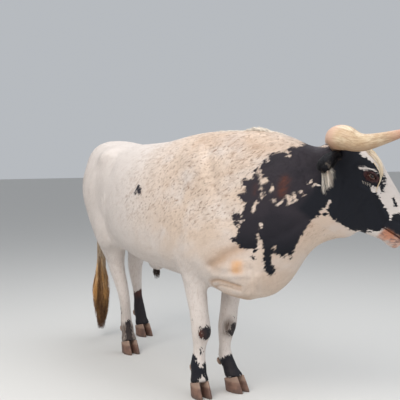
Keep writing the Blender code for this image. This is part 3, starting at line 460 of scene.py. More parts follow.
def with_mouth(points, quads):
    local = in_head(points)
    muzzle = local[:, 0] > 0.34
    across = above_lips(local)
    moves = 0.0030 * bell(across - 0.010, 0.007) + 0.0034 * bell(across + 0.010, 0.007)
    moves -= 0.011 * bell(across, 0.0034)
    moves *= muzzle * (1 - np.clip((MOUTH_CORNER - local[:, 0]) / 0.02, 0, 1))
    corner = np.linalg.norm(folded(local) - LIPS_CORNER, axis=1)
    points = pressed(points, quads, moves - 0.004 * bell(corner, 0.010))
    for side in (-1, 1):
        # Nostril: a comma that runs back and up from the nose's pad
        far, place = distance_to_line(in_head(points), NOSTRIL * (1, side, 1))
        moves = 0.0035 * bell(far - 0.016, 0.006) - 0.017 * bell(far, 0.0085 - 0.003 * place)
        points = points + HEAD @ np.array([1.0, side * 0.75, 0.25]) / 1.27 * (moves * muzzle)[:, None]
    return points


def slit_distance(points):
    """How far out of the nearer eye's slit each point is, 1 at the slit's edge."""
    return np.minimum(*(eye_frame(points, side)[3] for side in (-1, 1)))


def lid_height(along, up):
    """How far out of the eye's middle the lids' outside stands."""
    return np.sqrt(np.clip(LID_OUT**2 - along**2 - (up * 0.9) ** 2, 0.00001, None))


LID_HALF, LID_UP, LID_DOWN, LID_TILT = 0.0255, 0.0145, 0.0155, 0.10
LID_OUT = EYE_RADIUS + 0.0036


def eye_frame(points, side):
    """Points about one eye: along the lids, up across them, out of the head, and how far out of the slit."""
    local = (in_head(points) - EYE * (1, side, 1)) * (1, side, 1)
    along, out = local[:, 0], local[:, 1]
    up = local[:, 2] - LID_TILT * along
    half = np.where(up > 0, LID_UP, LID_DOWN)
    slit = (np.abs(along / LID_HALF) ** 1.7 + np.abs(up / half) ** 1.9) ** 0.55
    return along, up, out, slit


def with_eyes(points, edges):
    for side in (-1, 1):
        along, up, out, _ = eye_frame(points, side)
        reach = np.hypot(along, up)
        face = (out > -0.012) & (reach < 0.055)
        points = smoothed(points, edges, np.where(face, smoothstep(0.055, 0.030, reach), 0), 14)
        along, up, out, slit = eye_frame(points, side)
        goal = out + (lid_height(along, up) - out) * smoothstep(2.3, 1.05, slit) * face
        folds = np.where(up > 0, -0.0030 * bell(slit - 1.75, 0.16), -0.0020 * bell(slit - 1.65, 0.14))
        folds = folds + 0.0022 * bell(slit - 1.30, 0.22) - 0.0016 * bell(slit - 2.5, 0.2)
        goal = goal + folds * face
        ball = np.sqrt(np.clip((EYE_RADIUS - 0.005) ** 2 - along**2 - up**2, 0.00001, None))
        goal = goal + (ball - goal) * smoothstep(1.02, 0.90, slit) * face
        points = points + HEAD @ np.array([0, side, 0]) * np.where(face, goal - out, 0)[:, None]
    return points


def skin_shape():
    bm = flesh_mesh()
    refine(bm, lambda p: on_face(p) > 0)
    refine(bm, lambda p: (eye_distance(p) < 0.060) | near_mouth(p))
    refine(bm, lambda p: eye_distance(p) < 0.040)
    points, quads, edges = arrays_of(bm)
    bm.free()
    head = on_face(points)
    trunk = smoothstep(0.50, 0.80, points[:, 2]) * (1 - head)
    tail = smoothstep(-1.47, -1.50, points[:, 0]) * smoothstep(0.45, 0.5, points[:, 2])
    points = smoothed(points, edges, np.clip(trunk * (1 - tail), 0, 1), 30)
    points = smoothed(points, edges, np.full(len(points), 0.8), 3)
    points = smoothed(points, edges, head, 10)
    foot = smoothstep(0.13, 0.09, points[:, 2])
    points = pressed(points, quads, -COAT_DEPTH * (1 - 0.4 * head) * (1 - foot))
    points = with_body_forms(points, quads)
    points = with_face_forms(points, quads)
    points = with_eyes(points, edges)
    return with_mouth(points, quads), quads


# Markings
# Outline of the black patch on the neck, in the side plan
NECK_PATCH = [
    (0.64, 1.4), (0.568, 1.362), (0.534, 1.344), (0.505, 1.354), (0.494, 1.324), (0.47, 1.324),
    (0.446, 1.315), (0.425, 1.31), (0.412, 1.29), (0.393, 1.27), (0.373, 1.241), (0.361, 1.245),
    (0.365, 1.206), (0.355, 1.191), (0.322, 1.191), (0.319, 1.171), (0.332, 1.15), (0.332, 1.122),
    (0.303, 1.11), (0.303, 1.096), (0.334, 1.072), (0.325, 1.042), (0.318, 0.982), (0.305, 0.941),
    (0.298, 0.906), (0.272, 0.887), (0.296, 0.868), (0.3, 0.838), (0.33, 0.841), (0.352, 0.843),
    (0.354, 0.812), (0.379, 0.849), (0.388, 0.895), (0.403, 0.87), (0.4, 0.784), (0.403, 0.727),
    (0.421, 0.706), (0.442, 0.728), (0.43, 0.78), (0.43, 0.821), (0.47, 0.812), (0.48, 0.797), (0.5, 0.823),
    (0.512, 0.786), (0.533, 0.865), (0.557, 0.914), (0.577, 0.954), (0.604, 1.005), (0.646, 1.013),
    (0.672, 1.06), (0.7, 1.1), (0.88, 1.1), (0.88, 1.4),
]
# Black off the patch, and white within it: side plan paths and widths
NECK_DOTS = [([(0.296, 1.005), (0.302, 0.965)], 0.016), ([(0.352, 0.802), (0.354, 0.79)], 0.007)]
NECK_FLECKS = [
    ([(0.378, 1.262), (0.392, 1.215), (0.402, 1.18)], 0.008), ([(0.413, 1.181), (0.415, 1.178)], 0.009),
    ([(0.4, 1.148), (0.401, 1.099)], 0.004), ([(0.412, 1.131), (0.414, 1.108)], 0.003),
    ([(0.379, 1.085), (0.366, 1.029)], 0.005), ([(0.44, 1.16), (0.441, 1.136)], 0.005),
    ([(0.45, 1.088), (0.462, 1.068)], 0.006), ([(0.484, 1.088), (0.47, 1.07)], 0.006),
    ([(0.506, 1.107), (0.511, 1.08)], 0.011), ([(0.524, 1.128), (0.532, 1.09)], 0.006),
    ([(0.551, 1.131), (0.566, 1.117)], 0.006), ([(0.597, 1.18)], 0.009),
    ([(0.607, 1.147), (0.626, 1.163)], 0.005), ([(0.412, 1.31), (0.42, 1.28)], 0.005),
    ([(0.497, 1.322), (0.504, 1.305)], 0.006), ([(0.396, 0.972), (0.4, 0.95)], 0.004),
    ([(0.384, 0.912), (0.392, 0.85)], 0.006), ([(0.448, 0.86), (0.447, 0.84)], 0.004),
    ([(0.655, 1.27), (0.683, 1.235), (0.69, 1.2), (0.676, 1.13)], 0.011),
    ([(0.655, 1.13), (0.645, 1.08)], 0.007), ([(0.303, 0.96), (0.318, 0.99)], 0.005),
    ([(0.64, 1.045), (0.652, 1.03)], 0.008), ([(0.672, 1.095), (0.66, 1.06)], 0.008),
    ([(0.636, 1.352), (0.668, 1.352)], 0.007),
]
RUST = [([(0.493, 1.19), (0.48, 1.12)], 0.024), ([(0.372, 1.165), (0.374, 1.12)], 0.008)]

# Black of the side of the face, in the head's side plan
FACE_PATCH = [
    (-0.3, 0.36), (0.012, 0.36), (0.022, 0.215), (0.04, 0.178), (0.066, 0.182), (0.08, 0.194), (0.093, 0.186),
    (0.126, 0.194), (0.15, 0.184), (0.176, 0.172), (0.198, 0.186), (0.222, 0.172), (0.245, 0.15),
    (0.262, 0.128), (0.25, 0.108), (0.228, 0.118), (0.214, 0.128), (0.206, 0.112), (0.196, 0.088),
    (0.212, 0.08), (0.228, 0.088), (0.25, 0.086), (0.286, 0.073), (0.322, 0.066), (0.352, 0.05),
    (0.377, 0.034), (0.37, 0.064), (0.38, 0.088), (0.41, 0.104), (0.45, 0.118), (0.6, 0.13), (0.6, -0.004),
    (0.385, -0.014), (0.372, -0.04), (0.345, -0.072), (0.33, -0.096), (0.3, -0.108), (0.262, -0.124),
    (0.182, -0.142), (0.14, -0.146), (0.123, -0.146), (0.092, -0.134), (0.074, -0.137), (0.068, -0.158),
    (0.076, -0.19), (0.068, -0.225), (0.04, -0.26), (-0.3, -0.26),
]
FACE_BLAZE = [
    (-0.16, 0.04), (0, 0.058), (0.08, 0.08), (0.16, 0.084), (0.3, 0.066), (0.38, 0.04), (0.45, 0.018),
    (0.49, 0),
]
FACE_BLACK_DOTS = [
    ([(0.319, 0.126), (0.332, 0.12)], 0.008), ([(0.338, 0.118), (0.35, 0.112)], 0.009),
    ([(0.076, -0.178)], 0.01), ([(0.098, -0.152), (0.104, -0.146)], 0.007),
]
FACE_FLECKS = [
    ([(0.084, 0.128), (0.102, 0.142)], 0.0075),
    ([(0.102, 0.143), (0.122, 0.157), (0.145, 0.167), (0.166, 0.166)], 0.0034),
    ([(0.196, 0.096), (0.208, 0.086)], 0.0065), ([(0.345, -0.06), (0.33, -0.075)], 0.004),
    ([(0.073, -0.09), (0.083, -0.121)], 0.006), ([(-0.038, -0.068), (-0.012, -0.06)], 0.005),
]
# Tan laid along the brisket's folds as painted shade in their creases, and a warm tan down the neck's side
# and along the crest: side plan paths, weight, reach
TAN_AND_FOLD_SHADE = [
    ([(0.185, 0.752), (0.226, 0.778), (0.262, 0.812), (0.3, 0.838)], 0.8, 0.036),
    ([(0.137, 0.648), (0.17, 0.661), (0.205, 0.666), (0.245, 0.659), (0.29, 0.642)], 0.85, 0.01),
    ([(0.15, 0.622), (0.2, 0.64), (0.244, 0.637), (0.29, 0.622)], 0.55, 0.006),
    ([(0.13, 0.628), (0.17, 0.6), (0.225, 0.58), (0.3, 0.57)], 0.6, 0.013),
    ([(0.66, 1.02), (0.52, 0.9), (0.44, 0.8), (0.42, 0.68)], 0.3, 0.06),
    ([(0.02, 1.375), (0.16, 1.385), (0.3, 1.372), (0.43, 1.325)], 0.32, 0.04),
]
BRISKET_ORANGE = [(0.295, 0.762), (0.290, 0.728)]
# Black on the legs and flank: working paths, radius
LEG_BLACK = [
    ([(0.058, -0.108, 0.372), (0.062, -0.098, 0.328)], 0.022),
    ([(0.048, -0.08, 0.368), (0.05, -0.078, 0.34)], 0.018),
    ([(0.046, -0.13, 0.376), (0.056, -0.118, 0.345)], 0.014), ([(0.056, -0.112, 0.388)], 0.01),
    ([(0.028, -0.122, 0.266), (0.03, -0.12, 0.262)], 0.005),
    ([(0.026, -0.122, 0.243), (0.026, -0.118, 0.24)], 0.006),
    ([(0.026, -0.106, 0.251), (0.026, -0.104, 0.249)], 0.005), ([(0, -0.16, 0.425)], 0.006),
    ([(-0.01, -0.156, 0.205), (-0.002, -0.162, 0.165), (0.018, -0.165, 0.098)], 0.027),
    ([(0.018, -0.15, 0.182), (0.036, -0.142, 0.122)], 0.019),
    ([(0.033, -0.141, 0.152), (0.04, -0.125, 0.142), (0.036, -0.099, 0.14)], 0.02),
    ([(0.036, -0.088, 0.165), (0.044, -0.085, 0.105)], 0.027),
    ([(-0.06, -0.12, 0.2), (-0.045, -0.12, 0.12)], 0.034),
    ([(0.014, 0.092, 0.362), (0.004, 0.098, 0.318)], 0.022), ([(-0.002, 0.112, 0.3)], 0.01),
    ([(0.006, 0.078, 0.352), (0.01, 0.066, 0.334)], 0.014), ([(0.012, 0.095, 0.415)], 0.005),
    ([(0.004, 0.11, 0.402)], 0.005), ([(-0.018, 0.035, 0.16), (0.004, 0.045, 0.1)], 0.028),
    ([(-0.005, 0.108, 0.17), (0.02, 0.125, 0.105)], 0.034),
    ([(-0.004, 0.07, 0.165), (0.034, 0.085, 0.1)], 0.032),
    ([(-0.08, 0.075, 0.19), (-0.06, 0.08, 0.12)], 0.034),
    ([(-1.028, -0.06, 0.2), (-1.02, -0.062, 0.13), (-1.006, -0.062, 0.06)], 0.024),
    ([(-1.11, -0.055, 0.15), (-1.095, -0.055, 0.08)], 0.03),
    ([(-1.488, 0.236, 0.268), (-1.482, 0.24, 0.18), (-1.46, 0.25, 0.065)], 0.056),
    ([(-1.082, -0.085, 0.29)], 0.01), ([(-1.072, -0.088, 0.262)], 0.006),
    ([(-0.371, -0.305, 1.116), (-0.352, -0.306, 1.1)], 0.02), ([(-0.392, -0.305, 1.088)], 0.014),
    ([(-0.5, 0.31, 1.18), (-0.47, 0.31, 1.15)], 0.016),
]
LEG_RUST = [([(0.046, -0.14, 0.362), (0.05, -0.136, 0.335)], 0.018), ([(-1.487, 0.238, 0.312)], 0.04)]
# Soft grey-brown of dirt over the coat: path, reach, weight
LEG_SMUDGE = [
    ([(0.012, 0.06, 0.378), (0.008, 0.056, 0.33)], 0.034, 1.0),
    ([(0.014, 0.092, 0.362), (0.004, 0.098, 0.318)], 0.03, 0.6),
    ([(0.052, -0.126, 0.368), (0.058, -0.115, 0.332)], 0.026, 0.45),
    ([(0.012, 0.07, 0.15), (0.02, 0.075, 0.11)], 0.025, 0.4),
]


def outline_distance(plan, outline):
    """Distance in a plan from a closed outline, negative inside."""
    x, y = plan.T
    best = np.full(len(plan), 1e9)
    inside = np.zeros(len(plan), bool)
    for p, q in zip(outline, outline[1:] + outline[:1]):
        p, way = np.array(p), np.array(q) - np.array(p)
        t = np.clip(((x - p[0]) * way[0] + (y - p[1]) * way[1]) / (way @ way), 0, 1)
        best = np.minimum(best, np.hypot(x - p[0] - t * way[0], y - p[1] - t * way[1]))
        crossing = ((p[1] > y) != (q[1] > y)) & (x < way[0] * (y - p[1]) / (way[1] + 1e-12) + p[0])
        inside ^= crossing
    return np.where(inside, -best, best)


def strokes_distance(plan, strokes):
    return np.min([path_distance(plan, path) - width for path, width in strokes], axis=0)


def markings(points):
    """What the coat's colour hangs on at each point: three sets of three numbers."""
    plan, local = unbent(points), in_head(points)
    along, up, height = local[:, 0], local[:, 2], points[:, 2]
    left, share = plan[:, 1] > 0, on_face(points)
    flat = plan[:, [0, 2]]
    flat = np.where(left[:, None], (flat - (0.03, 0.02)) * (1.06, 1.0) - (0.015, 0), flat)
    face = local[:, [0, 2]]
    face[:, 1] += np.where(local[:, 1] > 0, 0.012 * np.sin(40 * along), 0)
    out = np.abs(local[:, 1])

    neck = np.minimum(outline_distance(flat, NECK_PATCH), strokes_distance(flat, NECK_DOTS))
    neck = np.maximum(neck, -strokes_distance(flat, NECK_FLECKS))
    blaze = np.maximum(out - np.interp(along, *np.transpose(FACE_BLAZE)), 0.10 - up)
    cheek = np.maximum(outline_distance(face, FACE_PATCH), -blaze)
    cheek = np.minimum(cheek, strokes_distance(face, FACE_BLACK_DOTS) + np.where(out < 0.02, 0.05, 0))
    cheek = np.maximum(cheek, -strokes_distance(face, FACE_FLECKS))
    behind = (share < 0.5) | (along < -0.02 + 0.25 * (up - 0.05))
    black = np.where(behind, neck, cheek)
    black = np.where(flat[:, 0] < 0.15, 0.5, black)
    wobble = 0.0055 * np.sin(points @ (310, 170, 90)) * np.sin(points @ (-120, 260, 200))
    wobble += 0.003 * np.sin(points @ (480, -420, 300))
    black = np.minimum(black, strokes_distance(points, LEG_BLACK) + wobble)
    rust = bell(np.clip(strokes_distance(flat, RUST) + 0.02, 0, None), 0.016) * (share < 0.5)
    for path, reach in LEG_RUST:
        far = path_distance(points, path)
        rust = np.maximum(rust, bell(far, reach))
        black = np.minimum(black, far - reach * 0.55)

    slit = slit_distance(points) + 0.25 * np.sin(160 * along) * np.sin(140 * up)
    lids = smoothstep(2.0, 1.35, slit) * (eye_distance(points) < 0.05)
    above = above_lips(local)
    reach = 0.017 * (1 + 0.12 * np.sin(95 * along) + 0.10 * np.sin(210 * along + 1.0))
    reach = reach * np.where(above < -0.008, 2.8, 1.0)
    lip = np.exp(-((np.abs(above + 0.008) / reach) ** 4)) * smoothstep(0.372, 0.394, along)
    pad = smoothstep(0.475, 0.498, along + 0.25 * np.clip(up - 0.08, 0, 1))
    # Painted shade in the groove between the lips, as dark as the bare skin
    lip_gap_shade = bell(above, 0.0030) * smoothstep(0.366, 0.384, along) * share
    nostril = np.exp(-((path_distance(folded(local), NOSTRIL) / 0.0085) ** 4))
    bare_and_gap_shade = np.maximum(np.maximum(lids, lip_gap_shade), nostril)

    throat = smoothstep(-0.05, -0.12, up) * smoothstep(0.36, 0.18, along) * share
    cream = smoothstep(-0.62, 0.05, plan[:, 0]) * smoothstep(0.60, 0.90, height)
    cream = np.maximum(cream, smoothstep(0.10, 0.25, plan[:, 0]) * 0.8) * (1 - share) + 0.85 * throat
    # Tan channel: painted shade in the brisket's fold creases, plus warm tan on the neck and crest
    tan_and_shade = sum(weight * bell(path_distance(flat, path), reach) for path, weight, reach in TAN_AND_FOLD_SHADE)
    # Just under the jaw the throat also gets tan painted shade
    tan_and_shade = np.clip(tan_and_shade, 0, 1) * (1 - share) + 0.30 * throat
    orange = bell(path_distance(flat, BRISKET_ORANGE), 0.021) * ~left
    hind = points[:, 0] < -0.6
    mud = smoothstep(0.13, 0.03, height) * np.where(hind, 0.9, 0.45)
    mud = np.maximum(mud, 0.95 * smoothstep(0.235, 0.165, height) * (hind & (points[:, 1] < 0.1)))
    mud = np.maximum(mud, 0.30 * smoothstep(0.42, 0.25, height) * hind)
    for path, reach, weight in LEG_SMUDGE:
        mud = np.maximum(mud, weight * bell(path_distance(points, path), reach))
    ticks = smoothstep(-0.75, -0.25, plan[:, 0]) * smoothstep(0.80, 1.05, height) * (1 - share)
    ticks = np.maximum(ticks, 0.22 * smoothstep(0.75, 0.60, height))
    return (
        np.stack([black, rust, bare_and_gap_shade], 1),
        np.stack([cream, tan_and_shade, mud], 1),
        np.stack([orange, ticks, np.clip(lip + 2 * pad, 0, 2)], 1),
    )


def on_leg(plan, high=0.62, low=0.50):
    """How far each point belongs to the legs rather than to the trunk above them, from 0 to 1."""
    return smoothstep(high, low, plan[:, 2]) * (plan[:, 0] < 0.13)


def lie(points, normals):
    """The way the hair runs at each point, along the surface."""
    plan, local = unbent(points), in_head(points)
    ones = np.ones(len(points))
    level = np.concatenate([-heading_at(plan[:, 0]), 0 * ones[:, None]], 1)
    down = np.array([0, 0, -1.0])
    leg = on_leg(plan, 0.72, 0.55)
    back = (level * 0.80 + down * 0.62) * (1 - leg[:, None]) + (down + level * 0.12) * leg[:, None]
    tail = smoothstep(-1.47, -1.51, points[:, 0])[:, None]
    back = back * (1 - tail) + down * tail
    # On the face the hair runs from the whorl between the eyes to nose and poll, and back over the cheeks
    outward = 0.5 * np.sign(local[:, 1]) * np.minimum(np.abs(local[:, 1]) * 12, 1)
    nose = np.stack([np.sign(local[:, 0] - 0.12), outward, -0.2 * ones], 1)
    onto_cheek = smoothstep(0.14, 0.06, local[:, 2])[:, None] * smoothstep(0.42, 0.34, local[:, 0])[:, None]
    face = (nose * (1 - onto_cheek) + np.array([-0.75, 0, -0.65]) * onto_cheek) @ HEAD.T
    share = on_face(points)
    back = back * (1 - share[:, None]) + face * share[:, None]
    # Waves and whorls
    x, y, z = plan.T
    sway = 0.14 * np.sin(7 * x + 10 * z) + 0.08 * np.sin(23 * x - 17 * z + 5 * y)
    sway += 0.05 * np.sin(57 * z + 40 * x)
    aside = np.cross(normals, back)
    back = back + aside * (sway * (1 - 0.6 * share) * (1 - 0.7 * leg))[:, None]
    return unit(back - normals * (back * normals).sum(1)[:, None])


# Materials
class Nodes:
    """A short way to write a node tree: every method adds a node and returns its output."""

    def __init__(self, name):
        self.material = bpy.data.materials.new(name)
        self.material.use_nodes = True
        self.tree = self.material.node_tree
        self.shader = self.tree.nodes["Principled BSDF"]

    def put(self, socket, value):
        if isinstance(value, bpy.types.NodeSocket):
            self.tree.links.new(value, socket)
        else:
            socket.default_value = value

    def node(self, kind, *inputs, **settings):
        """A node with its first inputs filled in order."""
        made = self.tree.nodes.new(kind)
        for key, value in settings.items():
            setattr(made, key, value)
        for socket, value in zip(made.inputs, inputs):
            self.put(socket, value)
        return made

    def attribute(self, name, output="Vector"):
        return self.node("ShaderNodeAttribute", attribute_name=name).outputs[output]

    def split(self, vector):
        return self.node("ShaderNodeSeparateXYZ", vector).outputs

    def math(self, operation, *numbers, clamp=False):
        return self.node("ShaderNodeMath", *numbers, operation=operation, use_clamp=clamp).outputs[0]

    def times(self, a, b, clamp=False):
        return self.math("MULTIPLY", a, b, clamp=clamp)

    def noise(self, place, stretch, detail=2.0, roughness=0.5):
        """Noise over a place that is stretched by its own factor each way."""
        stretched = self.node("ShaderNodeVectorMath", place, stretch, operation="MULTIPLY").outputs[0]
        made = self.node("ShaderNodeTexNoise", stretched)
        for key, value in (("Scale", 1.0), ("Detail", detail), ("Roughness", roughness)):
            made.inputs[key].default_value = value
        return made.outputs[0]

    def step(self, value, low, high, start=0.0, end=1.0):
        made = self.node("ShaderNodeMapRange", value, low, high, start, end, interpolation_type="SMOOTHSTEP")
        return made.outputs[0]

    def mix(self, factor, a, b, blend="MIX"):
        made = self.node("ShaderNodeMix", factor, data_type="RGBA", blend_type=blend)
        for socket, colour in zip(made.inputs[6:8], (a, b)):
            self.put(socket, (*colour, 1) if isinstance(colour, tuple) else colour)
        return made.outputs[2]

    def laid(self, colour, other, weight, value, low, high):
        """A colour with another laid over it as a value goes from low to high."""
        return self.mix(self.step(value, low, high, 0.0, weight), colour, other)

    def tinted(self, colour, value, low, high, dull, bright):
        """A colour made duller or brighter as a value goes from low to high."""
        light = self.mix(self.step(value, low, high), (dull,) * 3, (bright,) * 3)
        return self.mix(1.0, colour, light, "MULTIPLY")

    def bump(self, height, strength, distance):
        made = self.node("ShaderNodeBump")
        made.inputs["Strength"].default_value = strength
        made.inputs["Distance"].default_value = distance
        self.put(made.inputs["Height"], height)
        self.put(self.shader.inputs["Normal"], made.outputs[0])

    def finish(self, colour, roughness, **constants):
        self.put(self.shader.inputs["Base Color"], colour)
        self.put(self.shader.inputs["Roughness"], roughness)
        for key, value in constants.items():
            self.shader.inputs[key.replace("_", " ")].default_value = value
        return self.material


WHITE, CREAM, SHADE_TAN, ORANGE = (0.68, 0.61, 0.565), (0.66, 0.52, 0.415), (0.42, 0.235, 0.12), (0.72, 0.36, 0.13)
BLACK, BLACK_NECK_SHEEN, RUSTY = (0.006, 0.007, 0.012), (0.031, 0.025, 0.032), (0.105, 0.034, 0.022)
DARK_SKIN_AND_SHADE, LIP_PINK, LIP_DARK = (0.058, 0.020, 0.020), (0.50, 0.19, 0.095), (0.13, 0.062, 0.050)
MUD, TICK, LUMP_SHADE = (0.105, 0.072, 0.056), (0.24, 0.155, 0.115), (0.36, 0.235, 0.165)
CLOUD = (0.50, 0.44, 0.39)


def coat_material(name, on_skin):
    """The markings, the same on skin and on tufts; only the skin carries the grain of the hair as bump."""
    n = Nodes(name)
    comb = n.attribute("comb")
    black, rust, bare_and_gap_shade = n.split(n.attribute("marks"))
    cream, tan_and_shade, mud = n.split(n.attribute("tints"))
    orange, ticks, lip = n.split(n.attribute("spots"))
    ragged = n.noise(comb, (26, 90, 90), 3.0, 0.6)
    fine = n.noise(comb, (48, 230, 230), 2.0, 0.6)
    broad = n.noise(comb, (5, 7, 7), 3.0, 0.55)
    edge = n.math("MULTIPLY_ADD", n.math("SUBTRACT", ragged, 0.5), 0.038, black)
    edge = n.math("MULTIPLY_ADD", n.math("SUBTRACT", fine, 0.5), 0.020, edge)
    is_black = n.step(edge, 0.0014, -0.0014)
    warm = n.times(cream, n.step(broad, 0.30, 0.62), clamp=True)
    pale = n.mix(n.math("MULTIPLY_ADD", warm, 0.75, n.times(cream, 0.25)), WHITE, CREAM)
    flecks = n.noise(comb, (55, 105, 105), 2.5, 0.65)
    seen = n.times(ticks, n.step(flecks, 0.570, 0.625), clamp=True)
    # Painted shade of a lumpy coat: darker blotches between its clumps, strongest where the flecks are
    shaded_clumps = n.noise(comb, (20, 42, 42), 3.0, 0.6)
    lump_shade = n.times(n.math("MULTIPLY_ADD", ticks, 0.75, 0.25), n.step(shaded_clumps, 0.50, 0.68), clamp=True)
    # Laid over the pale coat: flecks, painted shade of the coat's clumps, tan painted shade of the folds and
    # under the jaw with warm tan, and orange
    for part, weight, tint in (
        (seen, 0.75, TICK), (lump_shade, 0.42, LUMP_SHADE), (tan_and_shade, 0.75, SHADE_TAN), (orange, 0.75, ORANGE),
    ):
        pale = n.mix(n.times(part, weight), pale, tint)
    pale = n.laid(pale, CLOUD, 0.16, broad, 0.45, 0.75)
    # Up the neck the black turns purple-grey: its own browner tone with painted sheen
    dark = n.mix(n.times(ticks, n.step(broad, 0.30, 0.60, 0.55, 1.0), clamp=True), BLACK, BLACK_NECK_SHEEN)
    dark = n.mix(n.times(rust, n.step(ragged, 0.35, 0.6, 0.3, 0.9)), dark, RUSTY)
    colour = n.mix(is_black, pale, dark)
    stain = n.times(mud, n.step(ragged, 0.25, 0.65, 0.50, 1.0), clamp=True)
    colour = n.mix(n.times(stain, n.math("MULTIPLY_ADD", is_black, -0.6, 1.0)), colour, MUD)
    lip_share = n.math("MINIMUM", lip, 1.0)
    # Pale patches on the lips: painted highlights and white hair
    lip_colour = n.mix(n.step(broad, 0.35, 0.50, 0.45, 0.0), LIP_PINK, WHITE)
    lip_colour = n.laid(lip_colour, LIP_DARK, 0.85, ragged, 0.46, 0.62)
    colour = n.mix(n.times(lip_share, 0.9), colour, lip_colour)
    # Dark bare skin of the lids and nostrils, and painted shade in the gap between the lips
    colour = n.mix(bare_and_gap_shade, colour, DARK_SKIN_AND_SHADE)
    colour = n.tinted(colour, n.attribute("shade", "Fac"), -1.0, 1.0, 0.74, 1.22)
    if on_skin:
        grain = n.noise(comb, (70, 520, 520), 2.0, 0.55)
        swirl = n.noise(comb, (22, 60, 60), 2.0, 0.5)
        n.bump(n.math("MULTIPLY_ADD", swirl, 0.6, grain), 0.35, 0.0022)
    rough = n.step(n.math("MAXIMUM", bare_and_gap_shade, lip_share), 0.0, 1.0, 0.62, 0.36)
    return n.finish(colour, rough, Sheen_Weight=0.03, Sheen_Roughness=0.5, Specular_IOR_Level=0.22)


def horn_material():
    n = Nodes("horn")
    place = n.attribute("grain")
    along = n.split(place)[0]
    streak = n.noise(place, (7, 170, 170), 3.0, 0.6)
    fine = n.noise(place, (40, 900, 900), 2.0, 0.6)
    cloud = n.noise(place, (9, 14, 14), 3.0, 0.5)
    ring = n.noise(place, (75, 8, 8), 1.0, 0.5)
    underside_shade = n.times(n.attribute("underside_shade", "Fac"), 0.55, clamp=True)
    colour = n.mix(n.step(cloud, 0.40, 0.60), (0.66, 0.53, 0.36), (0.47, 0.32, 0.185))
    colour = n.laid(colour, (0.29, 0.165, 0.085), 0.65, streak, 0.46, 0.62)
    colour = n.laid(colour, (0.76, 0.66, 0.50), 0.35, fine, 0.45, 0.75)
    colour = n.laid(colour, (0.60, 0.37, 0.27), 0.75, along, 0.35, 0.30)
    # Painted shade, ochre-brown, on the horn's underside
    colour = n.mix(underside_shade, colour, (0.33, 0.19, 0.10))
    colour = n.laid(colour, (0.47, 0.235, 0.16), 0.80, along, 0.53, 0.64)
    colour = n.laid(colour, (0.055, 0.038, 0.030), 0.92, along, 0.80, 0.98)
    n.bump(n.math("MULTIPLY_ADD", streak, 0.8, n.math("MULTIPLY_ADD", ring, 0.5, fine)), 0.30, 0.0016)
    return n.finish(colour, n.step(streak, 0.2, 0.8, 0.34, 0.52), Coat_Weight=0.10, Coat_Roughness=0.30)


def hoof_material():
    n = Nodes("hoof")
    place = n.node("ShaderNodeTexCoord").outputs["Object"]
    height = n.split(place)[2]
    rings = n.noise(place, (9, 9, 190), 1.5, 0.5)
    blotch = n.noise(place, (22, 22, 22), 3.0, 0.5)
    colour = n.mix(n.step(blotch, 0.35, 0.65), (0.120, 0.062, 0.046), (0.235, 0.130, 0.092))
    colour = n.laid(colour, (0.095, 0.052, 0.040), 0.25, rings, 0.45, 0.65)
    colour = n.laid(colour, (0.40, 0.28, 0.21), 0.55, height, 0.050, 0.066)
    colour = n.laid(colour, (0.100, 0.070, 0.056), 0.6, height, 0.030, 0.0)
    n.bump(rings, 0.15, 0.0006)
    return n.finish(colour, n.step(blotch, 0.3, 0.7, 0.55, 0.75))


def eye_material():
    """Dark iris with a wide level pupil, dull white and a dark edge, by the direction out of the ball."""
    n = Nodes("eye")
    place = n.attribute("gaze")
    _, along, up = n.split(place)
    level, upright = n.times(along, along), n.times(up, up)
    off = n.math("SQRT", n.math("ADD", level, upright))
    pupil = n.math("MULTIPLY_ADD", upright, 1.75**2, level)
    ray = n.noise(place, (3, 26, 26), 3.0, 0.6)
    iris = n.mix(n.step(ray, 0.35, 0.65), (0.035, 0.014, 0.010), (0.090, 0.034, 0.024))
    white = n.mix(n.step(ray, 0.4, 0.6), (0.14, 0.06, 0.05), (0.22, 0.11, 0.09))
    colour = n.mix(n.step(pupil, 0.17, 0.13), iris, (0.008, 0.005, 0.005))
    colour = n.laid(colour, white, 1.0, off, 0.80, 0.87)
    colour = n.laid(colour, (0.055, 0.022, 0.020), 1.0, off, 0.90, 0.98)
    return n.finish(colour, 0.10, Coat_Weight=0.35, Coat_Roughness=0.02, Specular_IOR_Level=0.3)


def hair_material(name, root, middle, tip, dark):
    """Long hair: its colour runs from root to tip, and each strand differs a little."""
    n = Nodes(name)
    along = n.attribute("along", "Fac")
    shade = n.attribute("shade", "Fac")
    colour = n.mix(n.step(along, 0.0, 0.45), root, middle)
    colour = n.laid(colour, tip, 1.0, along, 0.55, 1.0)
    colour = n.laid(colour, dark, 0.75, shade, 0.1, 1.0)
    colour = n.tinted(colour, shade, -1.0, 0.2, 1.35, 0.95)
    return n.finish(colour, 0.50, Sheen_Weight=0.03, Specular_IOR_Level=0.35)


# Long hair: material, slot, and the colours of root, middle, tip and the darkest strands
TAWNY = [(0.66, 0.46, 0.26), (0.54, 0.29, 0.10), (0.10, 0.046, 0.024), (0.14, 0.062, 0.026)]
GREY = [(0.62, 0.55, 0.47), (0.56, 0.45, 0.33), (0.42, 0.27, 0.14), (0.36, 0.25, 0.16)]
